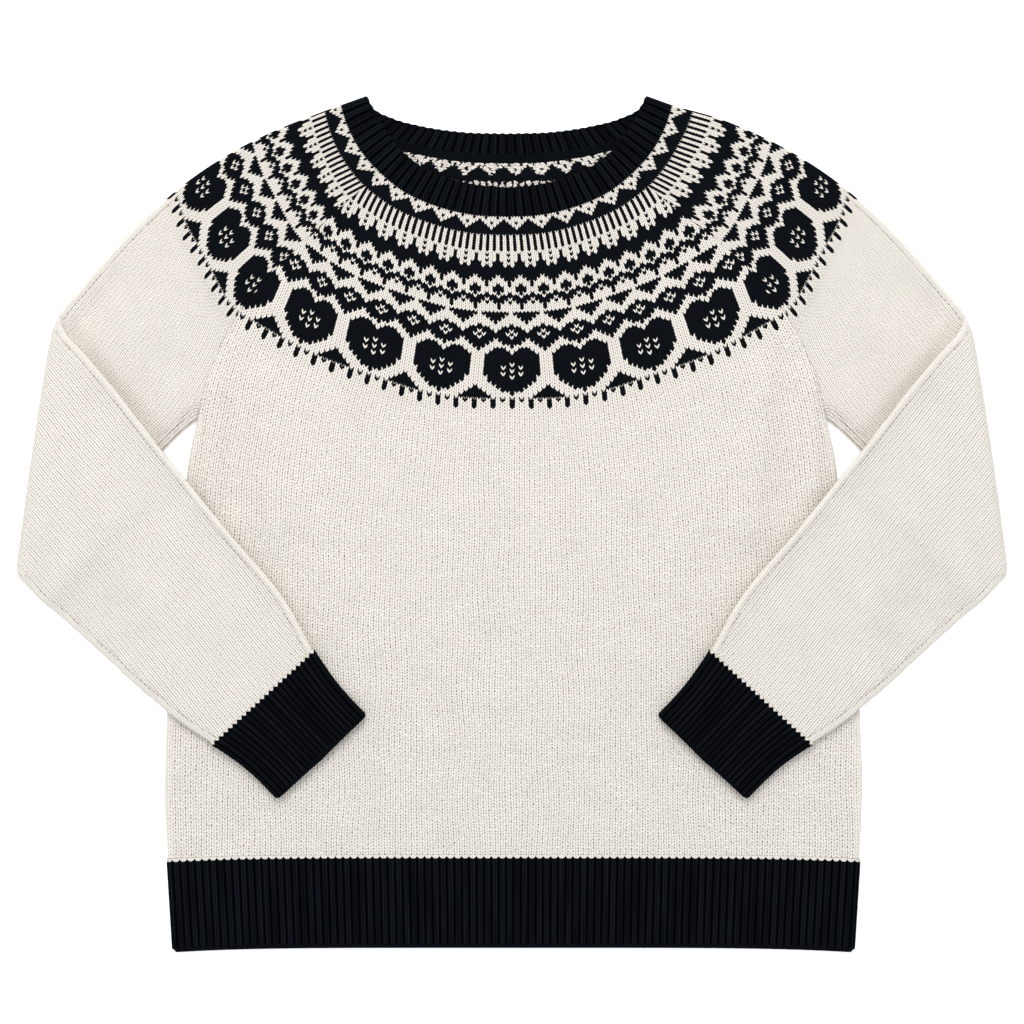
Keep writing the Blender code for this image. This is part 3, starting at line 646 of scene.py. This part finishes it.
def ribKnit(add, calc):
    # The ribs are in the mesh; the knit map counts one rib for 1 across and millimetres from the cream seam
    # down. The edge map holds how deep the cream reaches into a rib, and 1 for a pointed reach plus 2 on the
    # bound edge. On the inner face the seam has a plain backing.
    spot = add("ShaderNodeUVMap", uv_map="knit")
    stitches = byVector(byVector(spot, "MULTIPLY", (2.0, 0.46, 1.0)), "ADD", (0.5, 0.0, 0.0))
    given = {"Place": stitches, "Slope": 0.55, "Waver": 0.15, "Row Waver": 0.15, "Depth": 0.7}
    loop = add("ShaderNodeGroup", given, output=None, node_tree=loopGroup)
    parts, edge = separate(spot), separate(add("ShaderNodeUVMap", uv_map="edge"))
    beside = calc("ABSOLUTE", parts["X"] - calc("FLOOR", parts["X"] + 0.5)) * 2.0
    # a lit line runs along each of a rib's two wales, which stand closer to each other than to the next rib's
    line = calc("SINE", beside**1.5 * np.pi) ** 4.0
    lit = calc("MAXIMUM", line, band(beside, 0.5, 0.9) * 0.3)
    streaks = noise(byVector(spot, "MULTIPLY", (0.9, 0.012, 1.0)), 1.0, 1.0)
    lit = lit * (0.35 + band(streaks, 0.3, 0.7) * 0.65)
    inner = add("ShaderNodeAttribute", output="Fac", attribute_name="inner")
    plain = calc("MAXIMUM", band(edge["Y"], 1.2, 1.9), inner * (1.0 - band(parts["Y"], 6.3, 7.0)))
    # the bound strip and the inner backing get an even painted light level instead of highlight lines
    lit = lit * (1.0 - plain) + plain * 0.24
    lobe = beside - 1.0
    lobe = calc("SQRT", 1.0 - lobe * lobe)
    pointed = edge["Y"] > 0.5
    lobe = lobe * (1.0 - pointed) + beside * pointed
    dark = parts["Y"] > lobe * edge["X"]
    # the navy off the lit lines is painted shade; the lit lines are a painted highlight
    gap = calc("MAXIMUM", loop["Gap"] * 0.75, (1.0 - lit) * dark)
    return stitches, dark, gap, loop["Relief"], yarns["ribNavy"]


bodyKnit = clothMaterial("bodyKnit", plainKnit, yarns["body"])
sleeveKnit = clothMaterial("sleeveKnit", plainKnit, yarns["sleeve"])
ribKnitNavy = clothMaterial("navyRib", ribKnit)

yoke = {
    "depth": 140.0,  # from the neck seam to the last coloured row, at the front
    "rows": len(yokeRows),
    "rowGrowth": 0.12,  # rows get taller away from the neck
    "panelStitch": (2.365, 1.056),  # stitch width at the neck seam and how much it grows over the depth
    "neckSqueeze": (0.19, 0.1),  # narrower still beside the seam: how much, and over which share of the depth
    "sleeveStitch": (1.898, 0.788),
    "sleeveFold": 4.3,  # the stitch that lies on the sleeve's folded edge
    "bodyStitch": 3.83,
    "bodyRow": 2.16,
    "armStitch": 3.35,
    "armSpread": 24.0,  # the wales reach this width so far below the yoke
    "forearmStitch": 3.7,
}


def yokeRow(depth):
    # chart row at a share of the yoke's depth
    growth = yoke["rowGrowth"]
    return yoke["rows"] * depth * (1 + growth - growth * depth)


panel = {
    "columns": 64,  # over half the width
    "yokeLines": 60,
    "raglanLines": 14,
    "sideLines": 62,
    "hemDroop": 5,  # the power by which the hem seam falls towards the side
    "waleRipple": (0.45, 11.0, 6.0),  # the wales wander a little
    "frontRipple": (0.25, 9.0, 1.0),
    "frontRise": 0.1,
    "backRipple": (0.3, 14.0, 2.0),
    "backRise": 0.3,
    "creases": [
        [(216, 112), (221, 20), 7, 4.2],
        [(199, 124), (203, 10), 8, -1.7],
        [(181, 112), (174, -14), 12, 3.6],
        [(150, 60), (120, -40), 26, 0.5],
        [(60, 30), (90, -150), 34, 0.45],
        [(20, -60), (-30, -190), 30, -0.35],
        [(165, -215), (60, -228), 14, 0.4],
        [(-216, 110), (-221, 18), 7, 4.2],
        [(-199, 120), (-202, 6), 8, -1.7],
        [(-180, 108), (-173, -18), 12, 3.6],
        [(-140, 50), (-150, -60), 30, 0.5],
        [(-80, 10), (-70, -140), 28, 0.35],
        [(-150, -210), (-40, -226), 15, 0.4],
    ],
}


def hemLine(row):
    # half the hem seam (row 0) or hem edge (row 1), from the side to the centre, drooping towards the side
    side, middle = outline["hemSide"][row], outline["hemMiddles"][row, 1]
    share = np.linspace(1, 0, 120)
    return np.stack([side[0] * share, middle + (side[1] - middle) * share ** panel["hemDroop"]], axis=1)


def centreLine(first, last, shares):
    # evenly down the centre line, between the ends of two lines
    return np.stack([np.zeros_like(shares), first[-1, 1] + shares * (last[-1, 1] - first[-1, 1])], axis=1)


def panelHalf(face):
    # half a panel, hem to neck and side to centre, with its knit coordinates
    gap = cloth["seamGap"]
    raglan, seam = curve[face + "Raglan"], curve[face + "NeckSeam"]
    end = curve[face + "YokeEnd"].copy()
    meet, top = end[0].copy(), raglan[-1]
    lower = sideways(stretch(raglan, raglan[0], meet), gap)
    upper = sideways(stretch(raglan, meet, top), gap)
    neck = sideways(stretch(seam, top, seam[-1]), gap)
    neck[-1, 0] = 0
    neck[0] += upper[-1] - top
    upper[-1], end[0], lower[-1] = neck[0], upper[0], upper[0]
    hem = hemLine(0)
    hem[:, 1] += gap
    side = curve["bodySide"][::-1].copy()
    side[0] = hem[0]
    low = np.concatenate([side, lower[1:]])
    corner = runLength(side)[-1] / runLength(low)[-1]
    u = np.concatenate([np.linspace(0, corner, panel["sideLines"], endpoint=False),
                        np.linspace(corner, 1, panel["raglanLines"], endpoint=False)])
    up = np.linspace(0, 1, panel["yokeLines"])
    body = edgedPatch(hem, end, along(low, u), centreLine(hem, end, u), u, panel["columns"])
    coloured = edgedPatch(end, neck, along(upper, up), centreLine(end, neck, up), up, panel["columns"])
    points = np.concatenate([body, coloured])
    below = (1 - u) * (end[-1, 1] - hem[-1, 1])
    depth = np.concatenate([1 + below / yoke["depth"], 1 - up])
    row = np.concatenate([yoke["rows"] + below / yoke["bodyRow"], yokeRow(1 - up)])
    atNeck, growth = yoke["panelStitch"]
    squeeze, reach = yoke["neckSqueeze"]
    width = atNeck + growth * np.minimum(depth, 1) - squeeze * np.exp(-depth / reach)
    spare = yoke["bodyStitch"] - atNeck - growth
    width = width + spare * (1 - np.exp(-np.maximum(depth - 1, 0) * growth / spare))
    run = distanceAlong(points, 1)
    column = (run[:, -1:] - run) / width[:, None]
    return points, np.stack([column, np.broadcast_to(row[:, None], column.shape)], axis=-1)


def whole(half):
    # a full width from its half, left to right
    return np.concatenate([half * np.array([-1.0, 1.0]), half[:, -2::-1]], axis=1)


def makePanel(face, side):
    # the half and its mirror image, raised over each layer by creases and a ripple, with grooves at the seams
    half, knit = panelHalf(face)
    points, knit = whole(half), whole(knit)
    knit[..., 0] += ripple(points, *panel["waleRipple"])
    inward = onBothSides(points, bodyEdges + sleeveEdges)
    fade = inland(inward[0])
    lift = panel[face + "Rise"] + ripple(points, *panel[face + "Ripple"])
    if side > 0:
        lift += creaseHeight(points, panel["creases"])
    relief = seamRelief(onBothSides(points, [curve[face + "Raglan"], curve[face + "NeckSeam"]])[0], fade)
    faces = [sway(face) for face in laidFaces(points, side, inward, relief, lift * fade)]
    besideEdge = onBothSides(points, [curve["bodySide"]])[0]
    edge = np.stack([np.full_like(besideEdge, yarns["bodyMark"]), besideEdge], axis=-1)
    borders = {"start": False, "end": False, "low": False, "high": False}
    return makeShell("jumper_" + face, [(faces, knit, edge, borders)], bodyKnit)


front, back = makePanel("front", 1), makePanel("back", -1)
print("front and back knitted")

rib = {
    "linesPerRib": 8,
    "neckLines": 12,
    "height": 0.42,
    "dip": 0.22,  # of the height, between a rib's two wales
    "hemRibs": 46.5,  # over half the width
    "drawnIn": 0.996,  # the hem is a little narrower than the body
    "hemPoints": 2.5,  # how deep the cream stitches reach into the hem, and into the cuffs
    "cuffPoints": 2.3,
    "cuffRibs": 23,
    "frontNeckRibs": 24,  # over half the neck
    "backNeckRibs": 19,
    "neckWidth": 21,
    "scallop": 0.3,  # the neck's edge follows the ribs
    "hemLines": 12,
    "hemBound": 2.8,
    "cuffBound": 2.6,
    "hemRise": {1: 0.1, -1: 0.3},
}


def ribHeight(count, fade):
    # a flat-topped rib with a shallow dip in the middle and a narrow groove at each whole number
    beside = np.abs(count - np.round(count))
    dip = rib["dip"] * smoothstep((beside - 0.3) / 0.2)
    return fade * rib["height"] * (2 * smoothstep(beside / 0.2) - 1 - dip)


def ribRelief(count, fade, upper, folded=1.0):
    # full ribs on the upper face, half as high and sunk into the wall on the lower one, none where it folds
    relief = ribHeight(count, fade * folded)
    return relief if upper else 0.5 * (relief - folded * rib["height"])


def ribMaps(points, across, jag, pointed, bound):
    # the knit and edge maps of a rib, with the lengths from its seam and its whole length
    run = distanceAlong(points, 0)
    strip = 2 * smoothstep((run - run[-1:] + bound) / 0.5)
    knit = np.stack([np.broadcast_to(across, run.shape), run], axis=-1)
    return knit, np.stack([np.full(run.shape, jag), pointed + strip], axis=-1), run, run[-1:]


def makeHem(name, side):
    # straight lines from the hem seam down to the hem edge; the ribs run along them and stop at a bound strip
    shares = np.linspace(0, 1, int(rib["hemRibs"] * rib["linesPerRib"]) + 1)
    top, bottom = [along(hemLine(row), shares) for row in (0, 1)]
    top[:, 1] -= cloth["seamGap"]
    down = np.concatenate([np.linspace(0, 0.95, rib["hemLines"]), [0.975, 1]])[:, None, None]
    points = whole(top + down * (bottom - top))
    inward = onBothSides(points, bodyEdges)
    across = (1 - shares) * rib["hemRibs"]
    across = np.concatenate([-across, across[-2::-1]]) + 0.5 * (side < 0)  # the back's lie half a rib on
    knit, edge, run, length = ribMaps(points, across, rib["hemPoints"], 0, rib["hemBound"])
    fade = smoothstep((length - run) / rib["hemBound"] - 0.3) * smoothstep(run / 3 + 0.3)
    relief = ribRelief(across, fade, side > 0)
    faces = laidFaces(points, side, inward, relief, rib["hemRise"][side] * inland(inward[0]))
    faces = [sway(face * np.array([rib["drawnIn"], 1.0, 1.0])) for face in faces]
    borders = {"start": False, "end": True, "low": False, "high": False}
    return makeShell(name, [(faces, knit, edge, borders)], ribKnitNavy)


hemFront, hemBack = makeHem("hem_rib_front", 1), makeHem("hem_rib_back", -1)
print("hem ribs knitted")


def makeNeckband():
    # straight lines from the neck seam to the neck edge, which follows the ribs as a cosine
    gap = cloth["seamGap"]
    sheets = []
    for face, side in (("front", 1), ("back", -1)):
        shares = np.linspace(0, 1, rib["frontNeckRibs"] * rib["neckLines"] + 1)
        across = (1 - shares) * rib[face + "NeckRibs"]
        outerLine = sideways(curve[face + "NeckSeam"], -gap)
        outerLine[-1, 0] = 0
        outerLine[0] = along(curve["neckCornerLine"][::-1], np.array([gap / rib["neckWidth"]]))[0]
        outerLine = along(outerLine, shares)
        innerLine = along(curve[face + "NeckEdge"], shares)
        scallop = rib["scallop"] * np.cos(2 * np.pi * across) * np.minimum(50 * shares, 1)
        innerLine += scallop[:, None] * unit(outerLine - innerLine)
        down = np.concatenate([[0, 0.05], np.linspace(0.12, 0.93, 9), [0.965, 1]])[:, None, None]
        points = whole(outerLine + down * (innerLine - outerLine))
        inward = onBothSides(points, sleeveEdges[:1])
        across = np.concatenate([-across, across[-2::-1]])
        knit, edge, run, length = ribMaps(points, across, 0, 0, 0)
        fade = smoothstep((length - run) / 2.0 - 0.2) * smoothstep(run / 2 + 0.2)
        folded = smoothstep(inward[0] / 1.5)
        inside = (side < 0) * ribHeight(across, fade * folded * smoothstep((run / length - 0.3) / 0.06))
        faces = laidFaces(points, side, inward, ribRelief(across, fade, side > 0, folded), inside=-inside)
        sheets.append((faces, knit, np.zeros_like(edge), {"start": False, "end": True}))
    return makeShell("neck_rib", sheets, ribKnitNavy)


neckband = makeNeckband()
print("neckband knitted")

sleeve = {
    "columns": 32,
    "yokeLines": 44,
    "raglanLines": 10,
    "armLines": 34,
    "creaseLines": 10,
    "creaseRound": 14.0,  # the fold's lower end is rounded over this length
    "creaseOpen": (130.0, 0.28),  # and it opens slowly from the top: over this length, by this power
    "creaseBulge": 1.18,
    "edgeGroove": (5.3, 0.55, 0.5),  # distance from the edge, half width and depth of the stitched line
    "elbow": (11.0, 2.0, 2.2),  # near the top of the crease the arm rises and the forearm sinks towards it
    "elbowTuck": (-1.8, -4.0),  # and the forearm's corner draws back behind the arm's
    "edgePuff": 3.2,  # the forearm's upper edge stands a little off the arm
    "puffReach": (10.0, 40.0),  # across that edge, and along it from the crease
    "cornerShare": 0.33,  # of the rows below the yoke, those that end on the raglan seam
    "forearmLines": 60,
    "forearmDrop": 5.4,  # the forearm sags to the surface beside the body
    "dropStart": 15.0,
    "dropReach": 20.0,
    "backRise": 0.25,
    "waleAngle": 50.0,  # degrees below level on the forearm
    "firstRow": 300,  # of the forearm, well past the yoke
    "waleRipple": (0.55, 15.0, 4.0),
    "armRipple": (0.25, 8.0, 3.0),
    "forearmRipple": (0.35, 7.0, 5.0),
    "creaseFade": 20.0,
    "armCreases": [
        [(238, 96), (282, 40), 9, 0.7],
        [(243, 80), (318, 10), 3.2, -1.0],
        [(238, 92), (300, 34), 3.0, -0.6],
        [(285, 150), (318, 110), 12, 0.5],
        [(262, 130), (300, 60), 14, -0.4],
        [(282, 184), (326, 138), 8, -2.4],
        [(332, 152), (236, 34), 5, -1.8],
    ],
    "forearmCreases": [
        [(340, 60), (300, -10), 16, 0.5],
        [(300, 50), (262, 0), 14, -0.25],
        [(290, -20), (235, -85), 15, 0.45],
        [(240, -20), (196, -80), 12, 0.4],
        [(318, -20), (330, 60), 10, -0.35],
    ],
}
creaseEnds = np.stack([outline["forearmLower"][0], outline["forearmUpper"][0]])
creaseWay = unit(creaseEnds[1] - creaseEnds[0])
creaseNormal = np.array([creaseWay[1], -creaseWay[0]])


def fromCrease(points):
    return (creaseEnds[0] - points) @ creaseNormal


def nearElbow(points):
    # a bell around the top of the crease
    return np.exp(-(np.linalg.norm(points - creaseEnds[1], axis=-1) / sleeve["elbow"][0]) ** 2)


def edgeLine(distance, points):
    # the stitched line along an edge, which fades out at the crease
    place, width, depth = sleeve["edgeGroove"]
    return -depth * np.exp(-(((distance - place) / width) ** 2)) * smoothstep(fromCrease(points) / 6)


def sleevePatch(start, end, low, high, u):
    return edgedPatch(start, end, low, high, u, sleeve["columns"], sleeveSteps, both=True)


def armPatches(face):
    # the upper arm from the neck seam to the crease: the coloured rows, then the plain ones
    gap = cloth["seamGap"]
    raglan, seam, outerArm = curve[face + "Raglan"], curve[face + "NeckSeam"], curve["outerArm"]
    end = curve[face + "SleeveYokeEnd"].copy()
    meet, fold, top = end[0].copy(), end[-1].copy(), raglan[-1]
    lower = sideways(stretch(raglan, raglan[0], meet), -gap)[::-1]
    upper = sideways(stretch(raglan, meet, top), -gap)[::-1]
    neck = sideways(stretch(seam, seam[0], top), gap)[::-1]
    outside, beyond = stretch(outerArm, outerArm[0], fold), stretch(outerArm, fold, outerArm[-1]).copy()
    neck[0] += upper[0] - top
    upper[0], end[0], lower[0] = neck[0], upper[-1], upper[-1]
    neck[-1], end[-1], beyond[0] = outside[0], outside[-1], outside[-1]
    up = np.linspace(0, 1, sleeve["yokeLines"], endpoint=False)
    coloured = sleevePatch(neck, end, along(upper, up), along(outside, up), up)
    lower[-1] = outline["underArm"][0]
    toCorner = np.linspace(0, 1, sleeve["raglanLines"], endpoint=False)
    fromCorner = np.linspace(0, 1, sleeve["armLines"])
    corner = sleeve["cornerShare"]
    u = np.concatenate([corner * toCorner, corner + (1 - corner) * fromCorner])
    low = np.concatenate([along(lower, toCorner), along(curve["underArm"], fromCorner)])
    return coloured, sleevePatch(end, creaseEnds, low, along(beyond, u), u), up


def cuffSeam(offset):
    # the line between sleeve and cuff, moved towards the hand
    ends = np.stack([outline["forearmLower"][-1], outline["forearmUpper"][-1]])
    return ends + unit((outline["cuffEnd"] - ends).sum(axis=0)) * offset


def forearmPatch():
    # the forearm between its two edges, from the crease to the cuff seam
    u =np.linspace(0, 1, sleeve["forearmLines"])
    low, high = along(curve["forearmLower"], u), along(curve["forearmUpper"], u)
    low[-1], high[-1] = seam = cuffSeam(-cloth["seamGap"])
    return sleevePatch(creaseEnds, seam, low, high, u)


def forearmDrop(points):
    # nothing over the arm and the body, the whole drop beside them
    corner = outline["underArm"][0]
    way = unit(outline["underArm"][-1] - corner)
    offset = points - corner
    belowArm = offset[..., 0] * way[1] - offset[..., 1] * way[0]
    side = curve["bodySide"][::-1]
    besideBody = points[..., 0] - np.interp(points[..., 1], side[:, 1], side[:, 0])
    first, second = (np.maximum(d - sleeve["dropStart"], 0) for d in (belowArm, besideBody))
    return sleeve["forearmDrop"] * smoothstep(first * second / (first + second + 1e-6) / sleeve["dropReach"])


def foldedFaces(points, side, paths, relief=0.0, lift=0.0):
    # a layer after the fold: the front (side 1) now lies below, the back (side -1) on top
    inward = nearestOn(points, paths)
    for column in (0, -1):  # the two layers meet on the edge itself
        inward[0][:, column] = 0
        inward[1][-1, column] = inward[1][-2, column]
    acrossEdge, alongEdge = sleeve["puffReach"]
    puff = np.exp(-((nearestOn(points, forearmEdges[:1])[0] / acrossEdge) ** 2))
    puff *= smoothstep(fromCrease(points) / alongEdge)
    near = nearElbow(points)
    height = 2 * cloth["foldHeight"] - middleHeight - side * roll(inward[0])
    height += sleeve["edgePuff"] * puff - forearmDrop(points) - sleeve["elbow"][2] * near
    moved = points + near[..., None] * np.array(sleeve["elbowTuck"])
    return wallFaces(moved, height + lift * inland(inward[0]), -side, inward, relief)


def turnOver(line, side):
    # rings that carry a layer round the crease: a half circle about the fold line at each point, less wide
    # towards both ends; the last result is how far round each point lies from the last ring
    before, after = nearestOn(line, sleeveEdges)[0], nearestOn(line, forearmEdges)[0]
    ends = np.sign(np.linspace(-1, 1, len(line)))[:, None] * np.array([-creaseNormal[1], creaseNormal[0]])
    turn = np.linspace(0, 1, sleeve["creaseLines"] + 1)[1:-1, None]
    distance = before + turn * (after - before)
    upright = np.clip(1 - distance / cloth["rollRadius"], 0, 1)[..., None]
    level = side * np.sqrt(1 - upright**2)
    radius = cloth["foldHeight"] - middleHeight - side * roll(distance)
    angle = np.pi * turn
    run = runLength(line)
    end = np.clip(run / sleeve["creaseRound"], 0, 1)
    reach, power = sleeve["creaseOpen"]
    top = np.clip((run[-1] - run) / reach, 0, 1) ** power
    bulge = sleeve["creaseBulge"] * np.minimum(np.sqrt(1 - (1 - end) ** 2), top)
    near = nearElbow(line)
    flat = line + creaseNormal * (radius * np.sin(angle) * bulge)[..., None]
    flat += (turn * near)[..., None] * np.array(sleeve["elbowTuck"])
    rise = (sleeve["elbow"][1] * (1 - turn) - sleeve["elbow"][2] * turn) * near
    outer = np.concatenate([flat, (cloth["foldHeight"] - radius * np.cos(angle) + rise)[..., None]], axis=-1)
    levelWay = np.concatenate([-creaseNormal * np.sin(angle), np.cos(angle)], axis=-1)[:, None]
    uprightWay = np.concatenate([ends, np.zeros((len(line), 1))], axis=-1)
    return outer, outer - cloth["wall"] * (level * levelWay + upright * uprightWay), radius * (np.pi - angle)


def armPlace(arm, plain, up, face, side):
    # knit coordinates of the upper arm: columns from the folded edge, rows down from the neck
    first = len(arm) - len(plain)
    run = distanceAlong(arm, 1)
    run = run[:, -1:] - run
    depth = np.concatenate([up, np.ones(len(plain))])[:, None]
    width = yoke["sleeveStitch"][0] + yoke["sleeveStitch"][1] * depth + np.zeros_like(run)
    # below the yoke the wales keep their distance from the arm's outer edge
    fromOuter = nearestOn(plain, [curve["outerArm"]])[0]
    lastRow = fromOuter[0, ::-1]
    down = plain @ unit(outline["outerArm"][-1] - outline[face + "SleeveYokeEnd"][-1])
    down -= np.interp(fromOuter, lastRow, down[0, ::-1])
    beyond = np.maximum(fromOuter - lastRow[-1], 0)
    run[first:] = np.interp(fromOuter, lastRow, run[first, ::-1]) + beyond
    spread = 1 - np.exp(-np.maximum(down, 0) / yoke["armSpread"])
    width[first:] += (yoke["armStitch"] - width[-1, 0]) * spread
    row = np.repeat(yokeRow(up)[:, None], run.shape[1], axis=1)
    row = np.concatenate([row, yoke["rows"] + down / yoke["bodyRow"]])
    return np.stack([yoke["sleeveFold"] - side * run / width, row], axis=-1)


def forearmPlace(lower):
    # knit coordinates of the crease and the forearm: straight wales at one angle, which wander a little
    angle = np.radians(sleeve["waleAngle"])
    way, across = np.array([-np.cos(angle), -np.sin(angle)]), np.array([np.sin(angle), -np.cos(angle)])
    column = lower @ across / yoke["forearmStitch"] + ripple(lower, *sleeve["waleRipple"])
    return np.stack([column, lower @ way / yoke["bodyRow"] + sleeve["firstRow"]], axis=-1)


def makeSleeve(name, mirror):
    # for each layer one grid: the arm's rows, the rings round the crease, then the forearm's rows
    fore =forearmPatch()
    nearFore = nearestOn(fore, forearmEdges)[0]
    foreLift = creaseHeight(fore, sleeve["forearmCreases"]) + ripple(fore, *sleeve["forearmRipple"])
    foreLift *= smoothstep(fromCrease(fore) / sleeve["creaseFade"])
    edgeFore = np.stack([distanceAlong(fore, 0), nearFore], axis=-1)
    sheets = []
    for face, side in (("front", 1), ("back", -1)):
        coloured, plain, up = armPatches(face)
        arm = np.concatenate([coloured, plain])
        isPlain = np.arange(len(arm))[:, None] >= len(coloured)
        inward = nearestOn(arm, sleeveEdges + bodyEdges)
        fade = inland(inward[0])
        lift = creaseHeight(arm, sleeve["armCreases"]) + ripple(arm, *sleeve["armRipple"])
        lift = (lift if side > 0 else sleeve["backRise"]) * smoothstep(fromCrease(arm) / sleeve["creaseFade"])
        nearOuter, nearUnder = [nearestOn(arm, [curve[edge]])[0] for edge in ("outerArm", "underArm")]
        nearArm = np.minimum(nearOuter, nearUnder)
        relief = seamRelief(nearestOn(arm, [curve[face + "Raglan"], curve[face + "NeckSeam"]])[0], fade)
        relief += edgeLine(nearArm, arm) * isPlain
        flat = laidFaces(arm, side, inward, relief, lift * fade + sleeve["elbow"][1] * nearElbow(arm))
        turned = turnOver(arm[-1], side)
        folded = foldedFaces(fore, side, forearmEdges, edgeLine(nearFore, fore), foreLift * (side < 0))
        faces = [np.concatenate([flat[k], turned[k], folded[k]]) for k in (0, 1)]
        lower = np.concatenate([arm[-1] + creaseNormal * turned[2][..., None], fore])
        knit = np.concatenate([armPlace(arm, plain, up, face, side), forearmPlace(lower)])
        armRun = np.concatenate([np.zeros(coloured.shape[:2]), distanceAlong(plain, 0)])
        armRun += yarns["underArmMark"] * (nearUnder < nearOuter)
        edgeArm = np.stack([armRun, nearArm + yarns["yokeMark"] * ~isPlain], axis=-1)
        edge = np.concatenate([edgeArm, np.repeat(edgeFore[:1], len(turned[0]), axis=0), edgeFore])
        sheets.append((faces, knit, edge, {"start": False, "low": False, "end": False}))
    seamRows = sleeve["yokeLines"] + sleeve["raglanLines"] + 1
    return makeShell(name, sheets, sleeveKnit, mirror, seamRows)


sleeves = [makeSleeve("sleeve_knit_left", False), makeSleeve("sleeve_knit_right", True)]
print("sleeves knitted")

cuff = {
    "lines": 14,
    "waist": (2.2, 1.8),  # how far the lower and the upper side curve inwards
    "flare": 1.5,  # wider than the sleeve at the seam
    "corner": 3.0,
}


def makeCuff(name, mirror):
    # a patch between two sides that curve in by a sine, flare out at the seam and are rounded at the end
    start, end = cuffSeam(cloth["seamGap"]), outline["cuffEnd"]
    down = np.concatenate([[0], np.linspace(0.03, 0.93, cuff["lines"]), [0.95, 0.965, 0.98, 0.99, 0.996, 1]])
    inward = unit(start[0] - start[1])
    length = np.linalg.norm(end[0] - start[0])
    past = np.clip(1 - (1 - down) * length / cuff["corner"], 0, 1)
    tuck = cuff["corner"] * (1 - np.sqrt(1 - past**2)) - cuff["flare"] * (1 - down) ** 3
    low, high = [
        start[k] + down[:, None] * (end[k] - start[k])
        + way * (tuck + cuff["waist"][k] * np.sin(np.pi * down))[:, None] * inward
        for k, way in ((0, -1), (1, 1))
    ]
    shares = np.linspace(0, 1, rib["cuffRibs"] * rib["linesPerRib"] + 1) * np.ones((len(down), 1))
    points = patch(np.stack([low[0], high[0]]), np.stack([low[-1], high[-1]]), low, high, down, shares)
    paths = [high[::-1], low]
    across = shares * rib["cuffRibs"]
    knit, edge, run, length = ribMaps(points, across, rib["cuffPoints"], 1, rib["cuffBound"])
    fade = smoothstep((length - run) / rib["cuffBound"] - 0.3) * smoothstep(run / 3 + 0.2)
    folded = smoothstep(nearestOn(points, paths)[0] / 1.5)
    sheets = []
    for side in (1, -1):
        faces = foldedFaces(points, side, paths, ribRelief(across, fade, side < 0, folded))
        sheets.append((faces, knit, edge, {"start": False, "end": True}))
    return makeShell(name, sheets, ribKnitNavy, mirror)


cuffs = [makeCuff("cuff_rib_left", False), makeCuff("cuff_rib_right", True)]
print("cuffs knitted")

pieces = {
    "front": (front, "body_knit"), "back": (back, "body_knit"),
    "hem_front": (hemFront, "rib_knit"), "hem_back": (hemBack, "rib_knit"),
    "neckband": (neckband, "rib_knit"),
    "sleeve_left": (sleeves[0], "sleeve_knit"), "sleeve_right": (sleeves[1], "sleeve_knit"),
    "cuff_left": (cuffs[0], "rib_knit"), "cuff_right": (cuffs[1], "rib_knit"),
}
for node, (piece, slot) in pieces.items():
    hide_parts(node)

studio = {
    "floorSize": 8.0,
    "floorColour": (0.96, 0.96, 0.96, 1),
    "floorRoughness": 0.95,
    "floorGlow": 0.3,
    "worldColour": (0.93, 0.985, 1.06, 1),
    "worldStrength": 1.14,
    "lampPower": 34.0,
    "lampSize": 1.1,
    "lampPlace": (-0.2, 1.5, 1.7),
    "cameraHeight": 1.771,
    "lens": 85.0,
    "frameMiddle": 0.0084,
}


def makeStudio():
    half = studio["floorSize"] / 2
    mesh = bpy.data.meshes.new("floor")
    corners = [(-half, -half, 0), (half, -half, 0), (half, half, 0), (-half, half, 0)]
    mesh.from_pydata(corners, [], [(0, 1, 2, 3)])
    paper = bpy.data.materials.new("floorPaper")
    paper.use_nodes = True
    setInputs(paper.node_tree.nodes["Principled BSDF"], {
        "Base Color": studio["floorColour"], "Roughness": studio["floorRoughness"], "Specular IOR Level": 0.0,
        "Emission Color": studio["floorColour"], "Emission Strength": studio["floorGlow"],
    })
    mesh.materials.append(paper)
    floor = addObject("floor", mesh)
    world = bpy.data.worlds.new("studio")
    world.use_nodes = True
    setInputs(world.node_tree.nodes["Background"],
              {"Color": studio["worldColour"], "Strength": studio["worldStrength"]})
    bpy.context.scene.world = world
    lamp = bpy.data.lights.new("softbox", "AREA")
    lamp.size = studio["lampSize"]
    lamp.energy = studio["lampPower"]
    softbox = addObject("softbox", lamp)
    softbox.location = studio["lampPlace"]
    softbox.rotation_euler = (-softbox.location).to_track_quat("-Z", "Y").to_euler()
    lens = bpy.data.cameras.new("camera")
    lens.lens = studio["lens"]
    camera = addObject("camera", lens)
    camera.location = (0, studio["frameMiddle"], studio["cameraHeight"])
    bpy.context.scene.camera = camera
    bpy.context.scene.view_settings.view_transform = "Standard"


makeStudio()
print("studio ready")
